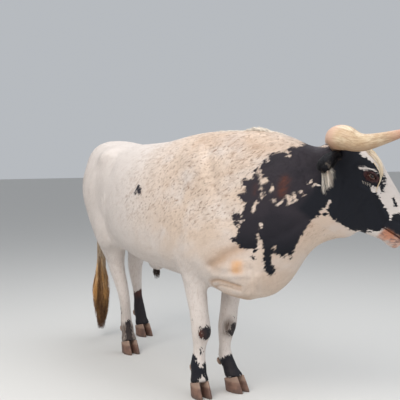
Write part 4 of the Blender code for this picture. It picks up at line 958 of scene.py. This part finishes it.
# The forelock's darkest strands stand in for shadow between its locks
STRAW = [(0.66, 0.54, 0.41), (0.78, 0.66, 0.50), (0.72, 0.55, 0.35), (0.34, 0.22, 0.13)]
PALE = [(0.52, 0.43, 0.34), (0.74, 0.68, 0.60), (0.72, 0.64, 0.54), (0.30, 0.21, 0.15)]
BROWN = [(0.060, 0.036, 0.030), (0.045, 0.028, 0.024), (0.07, 0.045, 0.035), (0.16, 0.10, 0.07)]
INKY = [(0.005, 0.005, 0.008), (0.006, 0.006, 0.009), (0.010, 0.009, 0.011), (0.02, 0.014, 0.012)]
HAIR_ROWS = [
    ("switch", "hair_tawny", TAWNY), ("dock", "hair_pale", GREY), ("forelock", "hair_pale", STRAW),
    ("ear_hair", "hair_pale", PALE), ("sheath_hair", "coat_dark", BROWN), ("black_hair", "coat_dark", INKY),
]
HAIR = {name: (hair_material(name, *colours), slot) for name, slot, colours in HAIR_ROWS}


# Making the animal
def comb(points, middle):
    """Coordinates that run with the hair first, then across it, in the region that each middle lies in."""
    u, h = unbent(points), in_head(points)
    c, s = math.cos(math.radians(38)), math.sin(math.radians(38))
    body = np.stack([u[:, 0] * c + u[:, 2] * s, u[:, 2] * c - u[:, 0] * s, u[:, 1]], 1)
    leg = points[:, [2, 0, 1]] + (7, 3, 5)
    tail = points[:, [2, 0, 1]] + (1, 8, 2)
    head = np.stack([h[:, 0] * 0.8 + h[:, 2] * 0.6, h[:, 2] * 0.8 - h[:, 0] * 0.6, h[:, 1]], 1) + (3, 9, 4)
    space = np.where(on_leg(unbent(middle))[:, None] > 0, leg, body)
    space = np.where(middle[:, :1] < -1.49, tail, space)
    return np.where(on_face(middle)[:, None] > 0.5, head, space)


def write_markings(mesh, points, repeat=1):
    for name, values in zip(("marks", "tints", "spots"), markings(points)):
        write_attribute(mesh, name, np.repeat(values, repeat, axis=0))


def make_skin(material):
    points, quads = skin_shape()
    skin = new_mesh("skin", points, quads)
    write_markings(skin.data, points)
    middle = np.repeat(points[quads].mean(1), 4, axis=0)
    write_attribute(skin.data, "comb", comb(points[quads].reshape(-1, 3), middle), "CORNER")
    write_attribute(skin.data, "shade", np.zeros(len(points)))
    finished(skin, material, "coat_pale", *FLESH)
    return skin, points, quads


def unwrapped(obj):
    """The corners' places on an unwrap of the mesh's own shape."""
    mesh = obj.data
    mesh.uv_layers.new(name="OFBake")
    bpy.context.view_layer.objects.active = obj
    obj.select_set(True)
    bpy.ops.object.mode_set(mode="EDIT")
    bpy.ops.mesh.select_all(action="SELECT")
    bpy.ops.uv.smart_project(angle_limit=math.radians(66), island_margin=0.001)
    bpy.ops.object.mode_set(mode="OBJECT")
    obj.select_set(False)
    places = np.zeros(len(mesh.loops) * 2, np.float32)
    mesh.uv_layers["OFBake"].uv.foreach_get("vector", places)
    return places.reshape(-1, 2)


class Roots:
    """Places on a mesh of quads, scattered by area and density."""

    def __init__(self, points, quads, places, normals, density, count, rng):
        a, b, c, d = (points[quads[:, k]] for k in range(4))
        area = 0.5 * np.linalg.norm(np.cross(c - a, d - b), axis=1)
        weight = area * density(points[quads].mean(1))
        face = rng.choice(len(quads), count, p=weight / weight.sum())
        u, v = rng.random((2, count, 1))
        shares = np.stack([(1 - u) * (1 - v), u * (1 - v), u * v, (1 - u) * v])
        corner = quads[face]
        self.points = sum(share * points[corner[:, k]] for k, share in enumerate(shares))
        self.normals = unit(sum(share * normals[corner[:, k]] for k, share in enumerate(shares)))
        self.places = sum(share * places[face * 4 + k] for k, share in enumerate(shares))
        self.middles = points[corner].mean(1)


def kept(roots, mask):
    part = object.__new__(Roots)
    for name, values in vars(roots).items():
        setattr(part, name, values[mask])
    return part


def coat_length(points):
    """Length of the hair, how far it stands out, and the width of a tuft, at each root."""
    plan, local = unbent(points), in_head(points)
    place, height = plan[:, 0], plan[:, 2]
    share, leg = on_face(points), on_leg(plan)
    belly = smoothstep(0.80, 0.70, height) * smoothstep(0.60, 0.62, height) * (place < 0.1)
    crest = smoothstep(0.26, 0.33, place) * smoothstep(0.66, 0.58, place)
    crest *= smoothstep(0.055, 0.015, np.abs(plan[:, 1])) * smoothstep(1.30, 1.34, height)
    poll = np.exp(-(((local[:, 0] + 0.01) / 0.05) ** 2) - ((local[:, 1] / 0.06) ** 2)) * (local[:, 2] > 0.1)
    muzzle = smoothstep(0.40, 0.47, local[:, 0]) * share
    length = 0.014 + 0.006 * smoothstep(-0.2, 0.2, place) * smoothstep(1.0, 1.25, height)
    length = length + 0.006 * belly + 0.008 * crest
    length = length * (1 - leg) + 0.009 * leg + 0.004 * leg * smoothstep(0.16, 0.12, height)
    length = length * (1 - share) + 0.0075 * share
    length = (length + 0.010 * poll) * (1 - 0.45 * muzzle)
    return length, 0.12 + 0.10 * poll, TUFT_WIDTH * (1 - 0.45 * share) * (1 - 0.3 * leg)


def is_bare(points):
    """Where no hair grows: the nose's pad, the lips' edge, the lids and the slit between them."""
    local = in_head(points)
    pad = smoothstep(0.478, 0.490, local[:, 0] + 0.25 * np.clip(local[:, 2] - 0.08, 0, 1)) * on_face(points)
    eye = (slit_distance(points) < 1.30) & (eye_distance(points) < 0.05)
    lip = (np.abs(above_lips(local)) < 0.006) & (local[:, 0] > LIPS_CORNER[0]) & (on_face(points) > 0.5)
    return (pad > 0.5) | eye | lip


def coat_density(points):
    plan = unbent(points)
    foot = smoothstep(0.10, 0.07, plan[:, 2]) * (plan[:, 2] < 0.08)
    return (1.0 + 2.2 * on_face(points) + 0.8 * on_leg(plan)) * (1 - foot) * ~is_bare(points)


# A tuft's nine corners about its root on the unwrap, in halves of the patch's width
TUFT_PATCH = [(-1, -1), (0, 0), (0, 1), (0, 1), (0, 0), (1, -1), (-1, -1), (1, -1), (0, 0)]


def tufts(name, roots, length, rise, width, material, rng):
    """One thin pyramid a root, sunk in at its foot and laid along the coat."""
    count, normals = len(roots.points), roots.normals
    way = lie(roots.points, normals)
    way = unit(way + np.cross(normals, way) * rng.normal(0, 0.16, (count, 1)))
    aside = np.cross(normals, way)
    length = (length * rng.uniform(0.65, 1.15, count))[:, None]
    half = (width * rng.uniform(0.7, 1.2, count))[:, None] / 2
    foot = roots.points - normals * TUFT_SUNK
    back = foot + normals * half * 0.35 + way * half
    tip = foot + unit(way + normals * rise[:, None]) * length - normals * length**2
    verts = np.stack([foot - aside * half, foot + aside * half, back, tip], 1).reshape(-1, 3)
    first = np.arange(count)[:, None] * 4
    faces = np.stack([first + (0, 3, 2), first + (2, 3, 1), first + (0, 1, 3)], 1).reshape(-1, 3)
    obj = new_mesh(name, verts, faces)
    write_markings(obj.data, roots.points, 4)
    write_attribute(obj.data, "comb", np.repeat(comb(roots.points, roots.middles), 4, axis=0))
    write_attribute(obj.data, "shade", np.repeat(rng.normal(0, 0.24, count), 4))
    facing = unit(normals + rng.normal(0, 0.13, (count, 3)))
    obj.data.normals_split_custom_set_from_vertices(np.repeat(facing, 4, axis=0))
    places = roots.places[:, None, :] + np.array(TUFT_PATCH) * PATCH_WIDTH / 2
    write_places(obj.data, np.clip(places, 0, 1))
    finished(obj, material, "coat_pale")


COAT_TUFTS = 300000


# Where the coat of the body is parted, by place along the middle line
COAT_PARTS = ["rump", "loin", "barrel", "shoulder", "hump", "neck"]
COAT_BOUNDS = [-9, -1.15, -0.75, -0.35, 0, 0.33, 9]


def make_coat(points, quads, places, material):
    rng = np.random.default_rng(5)
    normals = point_normals(points, quads)
    roots = Roots(points, quads, places, normals, coat_density, COAT_TUFTS, rng)
    plan = unbent(roots.points)
    face = on_face(roots.points) > 0.5
    leg = (on_leg(plan) > 0) & ~face
    regions = {"face": face, "legs": leg}
    for name, start, end in zip(COAT_PARTS, COAT_BOUNDS, COAT_BOUNDS[1:]):
        regions[name] = ~face & ~leg & (plan[:, 0] >= start) & (plan[:, 0] < end)
    for name, mask in regions.items():
        part = kept(roots, mask)
        tufts(f"coat_{name}", part, *coat_length(part.points), material, rng)


# Long hair
def strands(name, paths, thick, hair, rng, nodes=(), shades=None, end=0.08):
    """Thin tapered rods along paths of equally many points, each with a strip of its own on the unwrap."""
    count, steps, _ = paths.shape
    radii = thick * np.sqrt(np.linspace(1, end, steps)) * rng.uniform(0.7, 1.2, (count, 1))
    way = unit(np.gradient(paths, axis=1))
    side = unit(np.cross(way, rng.normal(0, 1, (count, 1, 3))))
    other = np.cross(way, side)
    angles = 2 * math.pi * np.arange(STRAND_SIDES) / STRAND_SIDES
    ring = side[:, :, None] * np.cos(angles)[:, None] + other[:, :, None] * np.sin(angles)[:, None]
    verts = (paths[:, :, None] + ring * radii[:, :, None, None]).reshape(-1, 3)
    number = np.arange(count)[:, None]
    faces = (number[:, :, None] * steps * STRAND_SIDES + tube_quads(steps, STRAND_SIDES)).reshape(-1, 4)
    obj = new_mesh(name, verts, faces)
    write_attribute(obj.data, "along", np.tile(np.repeat(np.linspace(0, 1, steps), STRAND_SIDES), count))
    shades = rng.normal(0, 0.45, count) if shades is None else shades
    write_attribute(obj.data, "shade", np.repeat(shades, steps * STRAND_SIDES))
    columns = math.ceil(math.sqrt(count * 4))
    k, j = tube_grid(steps, STRAND_SIDES)
    corner_k = np.stack([k, k, k + 1, k + 1], -1).reshape(-1)
    corner_j = np.stack([j, j + 1, j + 1, j], -1).reshape(-1)
    u = (number % columns + 0.1 + 0.8 * corner_j / STRAND_SIDES) / columns
    v = (number // columns + 0.05 + 0.9 * corner_k / (steps - 1)) / math.ceil(count / columns)
    write_places(obj.data, np.stack([u, v], -1))
    finished(obj, *HAIR[hair], *nodes)


def faces_of(quads):
    """The faces as lists of their own corners."""
    return [face[:3] if face[3] == face[2] else face for face in quads.tolist()]


def scattered(rows, each, spread, rng):
    """Every row as many times as said, each time moved about a little."""
    rows = np.repeat(rows, each, axis=0)
    return rows + rng.normal(0, spread, rows.shape)


def upright(height):
    """Vectors that point straight up, each as long as its height."""
    return np.stack([0 * height, 0 * height, height], 1)


def level_ways(angle):
    return np.stack([np.cos(angle), np.sin(angle), 0 * angle], 1)


def clumped_paths(starts, ends, bend, wave, steps, rng):
    """Paths from starts to ends with a bow and waves that grow to the tip."""
    f = np.linspace(0, 1, steps)[None, :, None]
    straight = starts[:, None] * (1 - f) + ends[:, None] * f
    bow = bend[:, None] * (f * (1 - f) * 4)
    phase = rng.uniform(0, 6.28, (len(starts), 1, 3))
    return straight + bow + wave * f * np.sin(9 * f + phase)


TAIL_END = np.array([-1.540, -0.032, 0.560])
# Middle (x, y) and radius of the dock at four heights
DOCK_HEIGHTS = (0.56, 0.70, 0.86, 1.06)
DOCK_ROWS = [
    (-1.54, -1.544, -1.55, -1.552), (-0.032, -0.03, -0.026, -0.018), (0.015, 0.01724, 0.0198, 0.023),
]


def make_switch():
    rng = np.random.default_rng(21)
    clumps, each = 44, 28
    count = clumps * each
    out = level_ways(rng.uniform(0, 2 * math.pi, clumps))
    start = TAIL_END + out * 0.012 + upright(0.02 - 0.20 * rng.uniform(0.0, 1.0, clumps))
    low = 0.078 + 0.17 * rng.random(clumps) ** 1.3
    narrow = (0.006 + 0.14 * (low - 0.07))[:, None]
    end = (TAIL_END + (0.002, -0.004, 0)) * (1, 1, 0) + upright(low) + out * narrow
    bow = out * rng.uniform(0.004, 0.033, (clumps, 1))
    base = scattered(start, each, 0.006, rng)
    tip = np.repeat(end, each, 0) + rng.normal(0, 0.008, (count, 3)) * (1, 1, 3)
    tip[:, 2] = np.maximum(tip[:, 2], 0.068)
    paths = clumped_paths(base, tip, scattered(bow, each, 0.004, rng), 0.0065, 12, rng)
    shades = scattered(rng.normal(0.1, 0.9, clumps), each, 0.25, rng)
    strands("switch_hair", paths, 0.0016, "switch", rng, ["tail_switch"], shades)
    # Short hair down the dock, longer towards the switch
    count = 900
    f = rng.random(count) ** 0.7
    z = 0.98 - 0.42 * f
    out = level_ways(rng.uniform(0, 2 * math.pi, count))
    x, y, radius = (np.interp(z, DOCK_HEIGHTS, row) for row in DOCK_ROWS)
    base = np.stack([x, y, z], 1) + out * radius[:, None]
    tip = base + out * (0.006 + 0.008 * f)[:, None] - upright(0.05 + 0.11 * f**2)
    paths = clumped_paths(base, tip, out * 0.004, 0.002, 6, rng)
    strands("dock_hair", paths, 0.0011, "dock", rng)


def laid_on(tree, paths, lift):
    """Moves paths onto the surface, each point lifted off it by its own height."""
    flat = paths.reshape(-1, 3)
    found = [tree.find_nearest(Vector(point)) for point in flat]
    places = np.array([hit[0] for hit in found]) + np.array([hit[1] for hit in found]) * lift.reshape(-1, 1)
    return places.reshape(paths.shape)


# Strands down the edge of the brow: head axes, out positive
BROW_STRANDS = [
    (26, 0.009, [
        (0.08, 0.07, 0.225), (0.114, 0.077, 0.22), (0.147, 0.083, 0.209), (0.173, 0.088, 0.193),
        (0.194, 0.094, 0.172),
    ]),
    (9, 0.0012, [
        (0.118, 0.092, 0.19), (0.155, 0.098, 0.18), (0.182, 0.1, 0.168), (0.203, 0.1, 0.142),
        (0.215, 0.092, 0.106),
    ]),
    (7, 0.001, [
        (0.13, 0.084, 0.205), (0.172, 0.092, 0.188), (0.196, 0.098, 0.166), (0.21, 0.097, 0.13),
        (0.226, 0.088, 0.092),
    ]),
]


def make_forelock(tree):
    """Curly locks that hug the brow, and thinner ones that run down past the eyes."""
    rng = np.random.default_rng(33)
    clumps, each, steps = 64, 18, 10
    count = clumps * each
    side = rng.uniform(-1, 1, clumps)
    back = rng.uniform(-0.050, 0.065, clumps)
    start = np.stack([back, 0.062 * side, 0.240 - 0.030 * side**2], 1)
    reach = rng.uniform(0.045, 0.090, clumps) * (1 - 0.3 * side**2)
    end = start + np.stack([reach, 0.016 * side + rng.normal(0, 0.009, clumps), -0.004 - 0.014 * side**2], 1)
    base, tip = scattered(start, each, 0.006, rng), scattered(end, each, 0.005, rng)
    bow = np.repeat(rng.normal(0, 1, (clumps, 3)) * (0, 0.012, 0), each, 0)
    paths = clumped_paths(base, tip, bow, 0.003, steps, rng)
    f = np.linspace(0, 1, steps)[None, :]
    high = np.repeat(rng.uniform(0.003, 0.011, (clumps, 1)), each, 0) * rng.uniform(0.6, 1.2, (count, 1))
    lift = -0.002 + high * np.sin(np.pi * np.clip(f * 1.15, 0, 1)) ** 0.7 + 0.002 * f
    shades = scattered(rng.normal(0, 0.40, clumps), each, 0.25, rng)
    for mirror in (-1, 1):
        for count, spread, rows in BROW_STRANDS:
            path = resampled(np.array(rows) * (1, mirror, 1), steps)
            own = path[None] + rng.normal(0, spread, (count, 1, 3)) * (1.1 - 0.7 * f[..., None])
            paths = np.concatenate([paths, own])
            over = 0.002 + 0.003 * np.sin(np.pi * f) * rng.uniform(0.4, 1.3, (count, 1))
            lift = np.concatenate([lift, over])
            shades = np.concatenate([shades, rng.normal(-0.3, 0.3, count)])
    paths = laid_on(tree, HEAD_AT + paths @ HEAD.T, lift)
    strands("forelock_hair", paths, 0.0012, "forelock", rng, ["forelock"], shades, 0.2)


def make_crest(tree):
    """Fluffy hair that stands along the top of the hump and thins out down the neck."""
    rng = np.random.default_rng(61)
    clumps, each = 150, 16
    s = scattered(rng.uniform(0.02, 0.47, clumps), each, 0.004, rng)
    aside = scattered(rng.normal(0, 0.014, clumps), each, 0.003, rng)
    way = heading_at(s)
    left = np.stack([-way[:, 1], way[:, 0]], 1)
    x, y = (np.interp(s, SPINE_PLACE, SPINE[:, k]) + left[:, k] * aside for k in (0, 1))
    top = [tree.ray_cast(Vector((a, b, 2.0)), Vector((0, 0, -1)))[0].z for a, b in zip(x, y)]
    base = np.stack([x, y, np.array(top) - 0.002], 1)
    high = 0.45 + 0.75 * bell(s - 0.33, 0.06)
    reach = np.repeat(rng.uniform(0.017, 0.032, clumps), each) * high
    lean = np.repeat(rng.normal(0, 0.25, (clumps, 1)), each, 0)
    tip_way = unit(np.concatenate([left * lean - way * 0.9, 0.75 * high[:, None]], 1))
    tip = scattered(base + tip_way * reach[:, None], 1, 0.002, rng)
    paths = clumped_paths(base, tip, upright(0.15 * reach), 0.0012, 6, rng)
    shades = np.repeat(rng.normal(-0.2, 0.3, clumps), each)
    strands("crest_hair", paths, 0.0007, "ear_hair", rng, shades=shades)


def make_eye_hairs(tree):
    """Small clumps of short white hairs on the cheekbone below each eye."""
    rng = np.random.default_rng(52)
    number = np.repeat(np.arange(6), 5)
    count, steps = len(number), 6
    f = np.linspace(0, 1, steps)[None, :]
    for side, name in SIDES:
        start = np.stack([0.133 + 0.0090 * number, np.full(count, 0.108), 0.089 + 0.0028 * number], 1)
        start = scattered(start, 1, 0.0012, rng)
        tip = start + np.array([0.009, 0, -0.011]) * rng.uniform(0.7, 1.2, (count, 1))
        tip = tip + np.repeat(rng.normal(0, 0.0020, (6, 3)), 5, 0)
        paths = clumped_paths(start, tip, np.zeros((count, 3)), 0.0008, steps, rng) * (1, side, 1)
        lift = 0.0004 + 0.0022 * f * rng.uniform(0.5, 1.2, (count, 1))
        paths = laid_on(tree, HEAD_AT + paths @ HEAD.T, lift)
        strands(f"{name}_eye_hair", paths, 0.0004, "ear_hair", rng)


def make_sheath():
    rng = np.random.default_rng(8)
    count = 190
    out = level_ways(rng.uniform(0, 2 * math.pi, count))
    near = rng.random(count)[:, None] ** 0.5
    base = np.array([-0.745, 0, 0.598]) + out * near * (0.019, 0.012, 0)
    stray = rng.normal(0, 1, (count, 3)) * (0.006, 0.004, 0.012)
    tip = np.array([-0.738, 0, 0.548]) + out * near * (0.014, 0.010, 0) + stray
    paths = clumped_paths(base, tip, out * 0.008, 0.003, 7, rng)
    strands("sheath_hair", paths, 0.0010, "sheath_hair", rng, ["sheath_tuft"])


# Ears, horns, eyes, hooves
def beside_head(forward, out, height):
    turn = np.array(Matrix.Rotation(HEAD_TURN, 2))
    return np.array([*(turn @ (forward, out) + HEAD_AT[:2]), height])


EAR_WIDTH, EAR_CUP, EAR_THICKNESS = 0.110, 0.028, 0.0042


def ear_frame(side):
    root, tip = on_head(-0.050, 0.086 * side, 0.100), beside_head(-0.030, 0.235 * side, 1.236)
    axis = unit(tip - root)
    opening = np.array(Matrix.Rotation(HEAD_TURN, 3, "Z")) @ (0.55, -0.70 * side, -0.35)
    opening = unit(opening - axis * (opening @ axis))
    return root, axis, np.linalg.norm(tip - root), opening, np.cross(axis, opening)


def ear_leaf(side, root, axis, long, opening, across):
    """Points and quads of an ear's leaf: rings from root to tip, each the outer face and then the inner."""
    steps = []
    for f in np.linspace(0, 1, EAR_RINGS):
        width = 0.020 + (EAR_WIDTH - 0.020) * math.sin(math.pi * min(f * 0.98, 1) ** 0.68) ** 0.8
        width *= 1 - 0.25 * smoothstep(0.85, 1.0, f)
        cup = EAR_CUP * (1 - f) ** 0.7 + 0.004
        bow = math.sin(math.pi * f)
        centre = root + axis * long * f + across * 0.011 * side * bow - opening * 0.02 * bow
        angle = math.pi * (np.linspace(0, 1, EAR_ARC) - 0.5) * 1.15
        ripple = 0.0012 * np.sin(9 * f + 5 * angle)
        half, back = np.sin(angle) * width / 2, (np.cos(angle) - 0.3) * cup + ripple
        outer = centre + np.outer(half, across) - np.outer(back, opening)
        half = half * (1 - EAR_THICKNESS * 1.6 / max(width, 0.01))
        inner = centre + np.outer(half, across) - np.outer(back - EAR_THICKNESS * 0.86, opening)
        steps.append(np.concatenate([outer, inner[::-1]]))
    sides = EAR_ARC * 2
    end = np.array([(i, i + 1, sides - 2 - i, sides - 1 - i) for i in range(EAR_ARC - 1)])
    quads = [tube_quads(EAR_RINGS, sides), end[:, ::-1], end + (EAR_RINGS - 1) * sides]
    return np.concatenate(steps), np.concatenate(quads)


def make_ear(side, name, material):
    root, axis, long, opening, across = ear_frame(side)
    points, quads = ear_leaf(side, root, axis, long, opening, across)
    obj = new_mesh(name + "_skin", points, quads)
    write_attribute(obj.data, "marks", np.repeat([(-0.05, 0, 0)], len(points), 0))
    for blank in ("tints", "spots"):
        write_attribute(obj.data, blank, np.zeros((len(points), 3)))
    write_attribute(obj.data, "comb", (points - root) @ np.stack([axis, across, opening], 1) + (0, side, 0))
    write_attribute(obj.data, "shade", np.zeros(len(points)))
    finished(obj, material, "coat_dark", name)
    rng = np.random.default_rng(40 + side)

    def spray(title, f, share, inside, reach, spread, thick, hair, steps=5, wave=0.0012, shades=None):
        """Hairs rooted on the leaf, at f along it and share across it."""
        place = np.round((share * 0.5 + 0.5) * (EAR_ARC - 1))
        place = np.where(inside, EAR_ARC * 2 - 1 - place, place).astype(int)
        index = np.round(f * (EAR_RINGS - 1)).astype(int) * EAR_ARC * 2 + place
        base = scattered(points[index], 1, min(spread, 0.0015), rng)
        tip = scattered(base + reach, 1, spread, rng)
        paths = clumped_paths(base, tip, rng.normal(0, spread * 0.5, base.shape), wave, steps, rng)
        strands(f"{name}_{title}", paths, thick, hair, rng, shades=shades)

    count = 2600
    f, share = rng.uniform(0.02, 0.98, count), rng.uniform(-1, 1, count)
    fan = axis * 0.011 - opening * 0.0016 + share[:, None] * across * 0.003
    spray("back_fur", f, share, False, fan, 0.0008, 0.0007, "black_hair", 4, 0.0002)
    count = 700
    f, share = rng.uniform(0.12, 0.85, count), rng.uniform(-0.75, 0.75, count)
    fan = opening * 0.016 + axis * 0.016 - share[:, None] * across * 0.012
    spray("inner_fur", f, share, True, fan, 0.005, 0.0008, "dock")
    count = 900
    f = rng.uniform(0.05, 0.99, count)
    share = np.sign(rng.uniform(-1, 1, count)) * rng.uniform(0.9, 1.0, count)
    fan = axis * 0.012 + share[:, None] * across * 0.010 + opening * 0.004
    spray("fringe", f, share, rng.random(count) < 0.5, fan, 0.0014, 0.0007, "black_hair", 5, 0.0004)
    # Long pale hair that hangs in wavy clumps from the outer half of the leaf, and one wisp across its back
    turn = np.array(Matrix.Rotation(HEAD_TURN, 3, "Z"))
    forward, outward, down = turn @ (1, 0, 0), turn @ (0, side, 0), np.array([0, 0, -1.0])
    clumps, each = 15, 26
    f = scattered(rng.uniform(0.75, 0.99, clumps), each, 0.02, rng)
    share = scattered(rng.uniform(-0.55, 0.45, clumps), each, 0.05, rng)
    fall, lean = rng.uniform(0.030, 0.125, (clumps, 1)), rng.uniform(0.000, 0.024, (clumps, 1))
    fan = np.repeat(forward * lean + down * fall, each, 0)
    shades = scattered(rng.normal(-0.1, 0.5, clumps), each, 0.2, rng)
    f, share = np.clip(f, 0, 0.99), np.clip(share, -1, 1)
    spray("spill", f, share, True, fan, 0.0035, 0.0006, "ear_hair", 9, 0.0045, shades)
    f, share = rng.normal(0.80, 0.02, 14), rng.normal(0.0, 0.04, 14)
    fan = forward * 0.030 + down * 0.046 + outward * 0.056
    spray("wisp", f, share, False, fan, 0.0015, 0.0009, "ear_hair", 8)


HORN = [
    (0.056, 0.03, 1.35, 0.045), (0.04, 0.13, 1.384, 0.05), (0.016, 0.235, 1.39, 0.056),
    (0.036, 0.325, 1.388, 0.057), (0.117, 0.374, 1.367, 0.039), (0.293, 0.385, 1.411, 0.018),
    (0.39, 0.374, 1.432, 0.0135), (0.5, 0.346, 1.468, 0.009), (0.59, 0.312, 1.508, 0.0035),
]
LEFT_HORN_DROP, LEFT_HORN_SWEEP = 0.010, 0.070


def horn_rows(side):
    """Points and radii along a horn; the left one starts further forward and hangs lower towards its tip."""
    rows = []
    for i, (forward, out, height, radius) in enumerate(HORN):
        lower, ahead = 0, 0
        if side > 0:
            lower = LEFT_HORN_DROP * min(i / 4, 1)
            ahead = LEFT_HORN_SWEEP * min(i / 2, 1) * min((len(HORN) - 1 - i) / 3, 1)
        rows.append((forward + ahead, out * side, height - lower, radius))
    return resampled(rows, 150)


def make_horn(side, name, material):
    rows = horn_rows(side)
    middle = np.array([beside_head(*row[:3]) for row in rows])
    way = unit(np.gradient(middle, axis=0))
    place = np.concatenate([[0], np.cumsum(np.linalg.norm(np.diff(middle, axis=0), axis=1))])
    place = place / place[-1]
    angle = 2 * math.pi * np.arange(HORN_SIDES) / HORN_SIDES
    across = unit(np.cross(way[0], (0, 0, 1)))
    points, grain = [], []
    for k in range(len(rows)):
        across = unit(across - way[k] * (across @ way[k]))
        high = np.cross(across, way[k])
        ridges = 0.010 * smoothstep(0.34, 0.05, place[k]) * np.sin(place[k] * 210 + np.sin(2 * angle))
        radius = rows[k, 3] * (1 + ridges + 0.012 * np.sin(3 * angle + 6 * place[k]))
        ring = np.outer(np.cos(angle) * radius, across) + np.outer(np.sin(angle) * radius, high)
        points.append(middle[k] + ring)
        grain.append(np.stack([np.full(HORN_SIDES, place[k]), ring @ across, ring @ high], 1))
    points, grain = np.concatenate(points), np.concatenate(grain)
    quads = tube_quads(len(rows), HORN_SIDES)[:, [0, 3, 2, 1]]
    obj = new_mesh(name + "_sheath", points, quads)
    write_attribute(obj.data, "grain", grain + (0, side, 0))
    # How far each point faces down, for the painted shade on the horn's underside
    write_attribute(obj.data, "underside_shade", smoothstep(0.1, -0.8, point_normals(points, quads)[:, 2]))
    finished(obj, material, "horn", name)


def make_eye(side, name, material):
    rings, sides = 40, 64
    polar = np.linspace(0.001, math.pi - 0.001, rings)[:, None]
    around = 2 * math.pi * np.arange(sides) / sides
    ball = [np.cos(polar) + 0 * around, np.sin(polar) * np.cos(around), np.sin(polar) * np.sin(around)]
    gaze = np.stack(ball, -1).reshape(-1, 3)
    local = gaze * EYE_RADIUS * (1 + 0.035 * smoothstep(0.80, 0.97, gaze[:, 0]))[:, None]
    local = np.stack([local[:, 1], side * local[:, 0], local[:, 2]], 1)
    points = on_head(*(EYE * (1, side, 1))) + local @ HEAD.T
    quads = tube_quads(rings, sides)[:, [0, 3, 2, 1]]
    obj = new_mesh(name + "_ball", points, quads if side > 0 else quads[:, ::-1])
    write_attribute(obj.data, "gaze", gaze)
    finished(obj, material, "eye", name)


def make_lashes():
    rng = np.random.default_rng(70)
    count = 130
    for side, name in SIDES:
        along = rng.uniform(-1, 1, count) * LID_HALF * 0.92
        upper = rng.random(count) < 0.75
        half = np.where(upper, LID_UP, -LID_DOWN)
        up = half * (1 - np.abs(along / LID_HALF) ** 1.7) ** (1 / 1.9) + LID_TILT * along
        base = np.stack([along, lid_height(along, up), up], 1)
        reach = np.where(upper, 0.020, 0.009)[:, None] * rng.uniform(0.6, 1.1, (count, 1))
        tip = base + np.stack([along * 9, np.full(count, 0.85), np.where(upper, -0.05, -0.45)], 1) * reach
        bend = upright(np.where(upper, -0.003, 0.0))
        paths = clumped_paths(base, tip, bend, 0.0003, 6, rng) * (1, side, 1) + EYE * (1, side, 1)
        strands(f"{name}_lashes", HEAD_AT + paths @ HEAD.T, 0.00042, "black_hair", rng)


def make_hoof(name, material):
    """A claw with its facets rounded off."""
    bm = welded(name)
    points, faces, _ = arrays_of(bm)
    bm.free()
    obj = new_mesh(name + "_wall", points, faces[:, :3])
    mesh = remeshed(obj, HOOF_VOXEL, 5)
    obj.modifiers.clear()
    obj.data = mesh
    finished(obj, material, "hoof", name)


def animal():
    on_skin = coat_material("coat_skin", True)
    skin, points, quads = make_skin(on_skin)
    make_coat(points, quads, unwrapped(skin), coat_material("coat_tufts", False))
    tree = BVHTree.FromPolygons([Vector(point) for point in points], faces_of(quads))
    make_switch()
    make_forelock(tree)
    make_eye_hairs(tree)
    make_crest(tree)
    make_sheath()
    horn, eye, hoof = horn_material(), eye_material(), hoof_material()
    for side, name in SIDES:
        make_horn(side, name + "_horn", horn)
        make_eye(side, name + "_eye", eye)
        make_ear(side, name + "_ear", on_skin)
    make_lashes()
    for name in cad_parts:
        if name.endswith("claw"):
            make_hoof(name, hoof)


animal()


# Floor, light, camera
def studio():
    world = bpy.data.worlds.new("studio")
    bpy.context.scene.world = world
    world.use_nodes = True
    world.node_tree.nodes["Background"].inputs["Color"].default_value = (0.86, 0.90, 0.95, 1)
    world.node_tree.nodes["Background"].inputs["Strength"].default_value = 0.55
    for name, place, size, power, colour in (
        ("key", (1.6, -3.2, 4.2), 3.5, 185, (1.0, 0.97, 0.93)),
        ("fill", (4.5, 0.5, 2.5), 3.5, 52, (0.93, 0.96, 1.0)),
        ("top", (-0.5, 0.8, 4.8), 4.0, 118, (0.96, 0.98, 1.0)),
    ):
        lamp = bpy.data.lights.new(name, "AREA")
        lamp.size, lamp.energy, lamp.color = size, power, colour
        obj = bpy.data.objects.new(name, lamp)
        obj.location = place
        obj.rotation_euler = (Vector((0, 0, 0.8)) - obj.location).to_track_quat("-Z", "Y").to_euler()
        bpy.context.scene.collection.objects.link(obj)
    corners = np.array([(-30, -30, 0), (30, -30, 0), (30, 30, 0), (-30, 30, 0)], float)
    floor = new_mesh("floor", corners - AT, np.array([[0, 1, 2, 3]]))
    floor.data.materials.append(Nodes("floor").finish((0.62, 0.61, 0.59, 1), 0.9))
    camera = bpy.data.objects.new("camera", bpy.data.cameras.new("camera"))
    bpy.context.scene.collection.objects.link(camera)
    camera.data.lens = 822.2 / 400 * 36
    camera.data.sensor_width = 36
    camera.location = (4.0376, -2.6150, 1.3452)
    turn, pitch = math.radians(150.18), math.radians(-3.671)
    look = Vector((math.cos(turn) * math.cos(pitch), math.sin(turn) * math.cos(pitch), math.sin(pitch)))
    camera.rotation_euler = look.to_track_quat("-Z", "Y").to_euler()
    bpy.context.scene.camera = camera
    bpy.context.scene.view_settings.view_transform = "Standard"


studio()
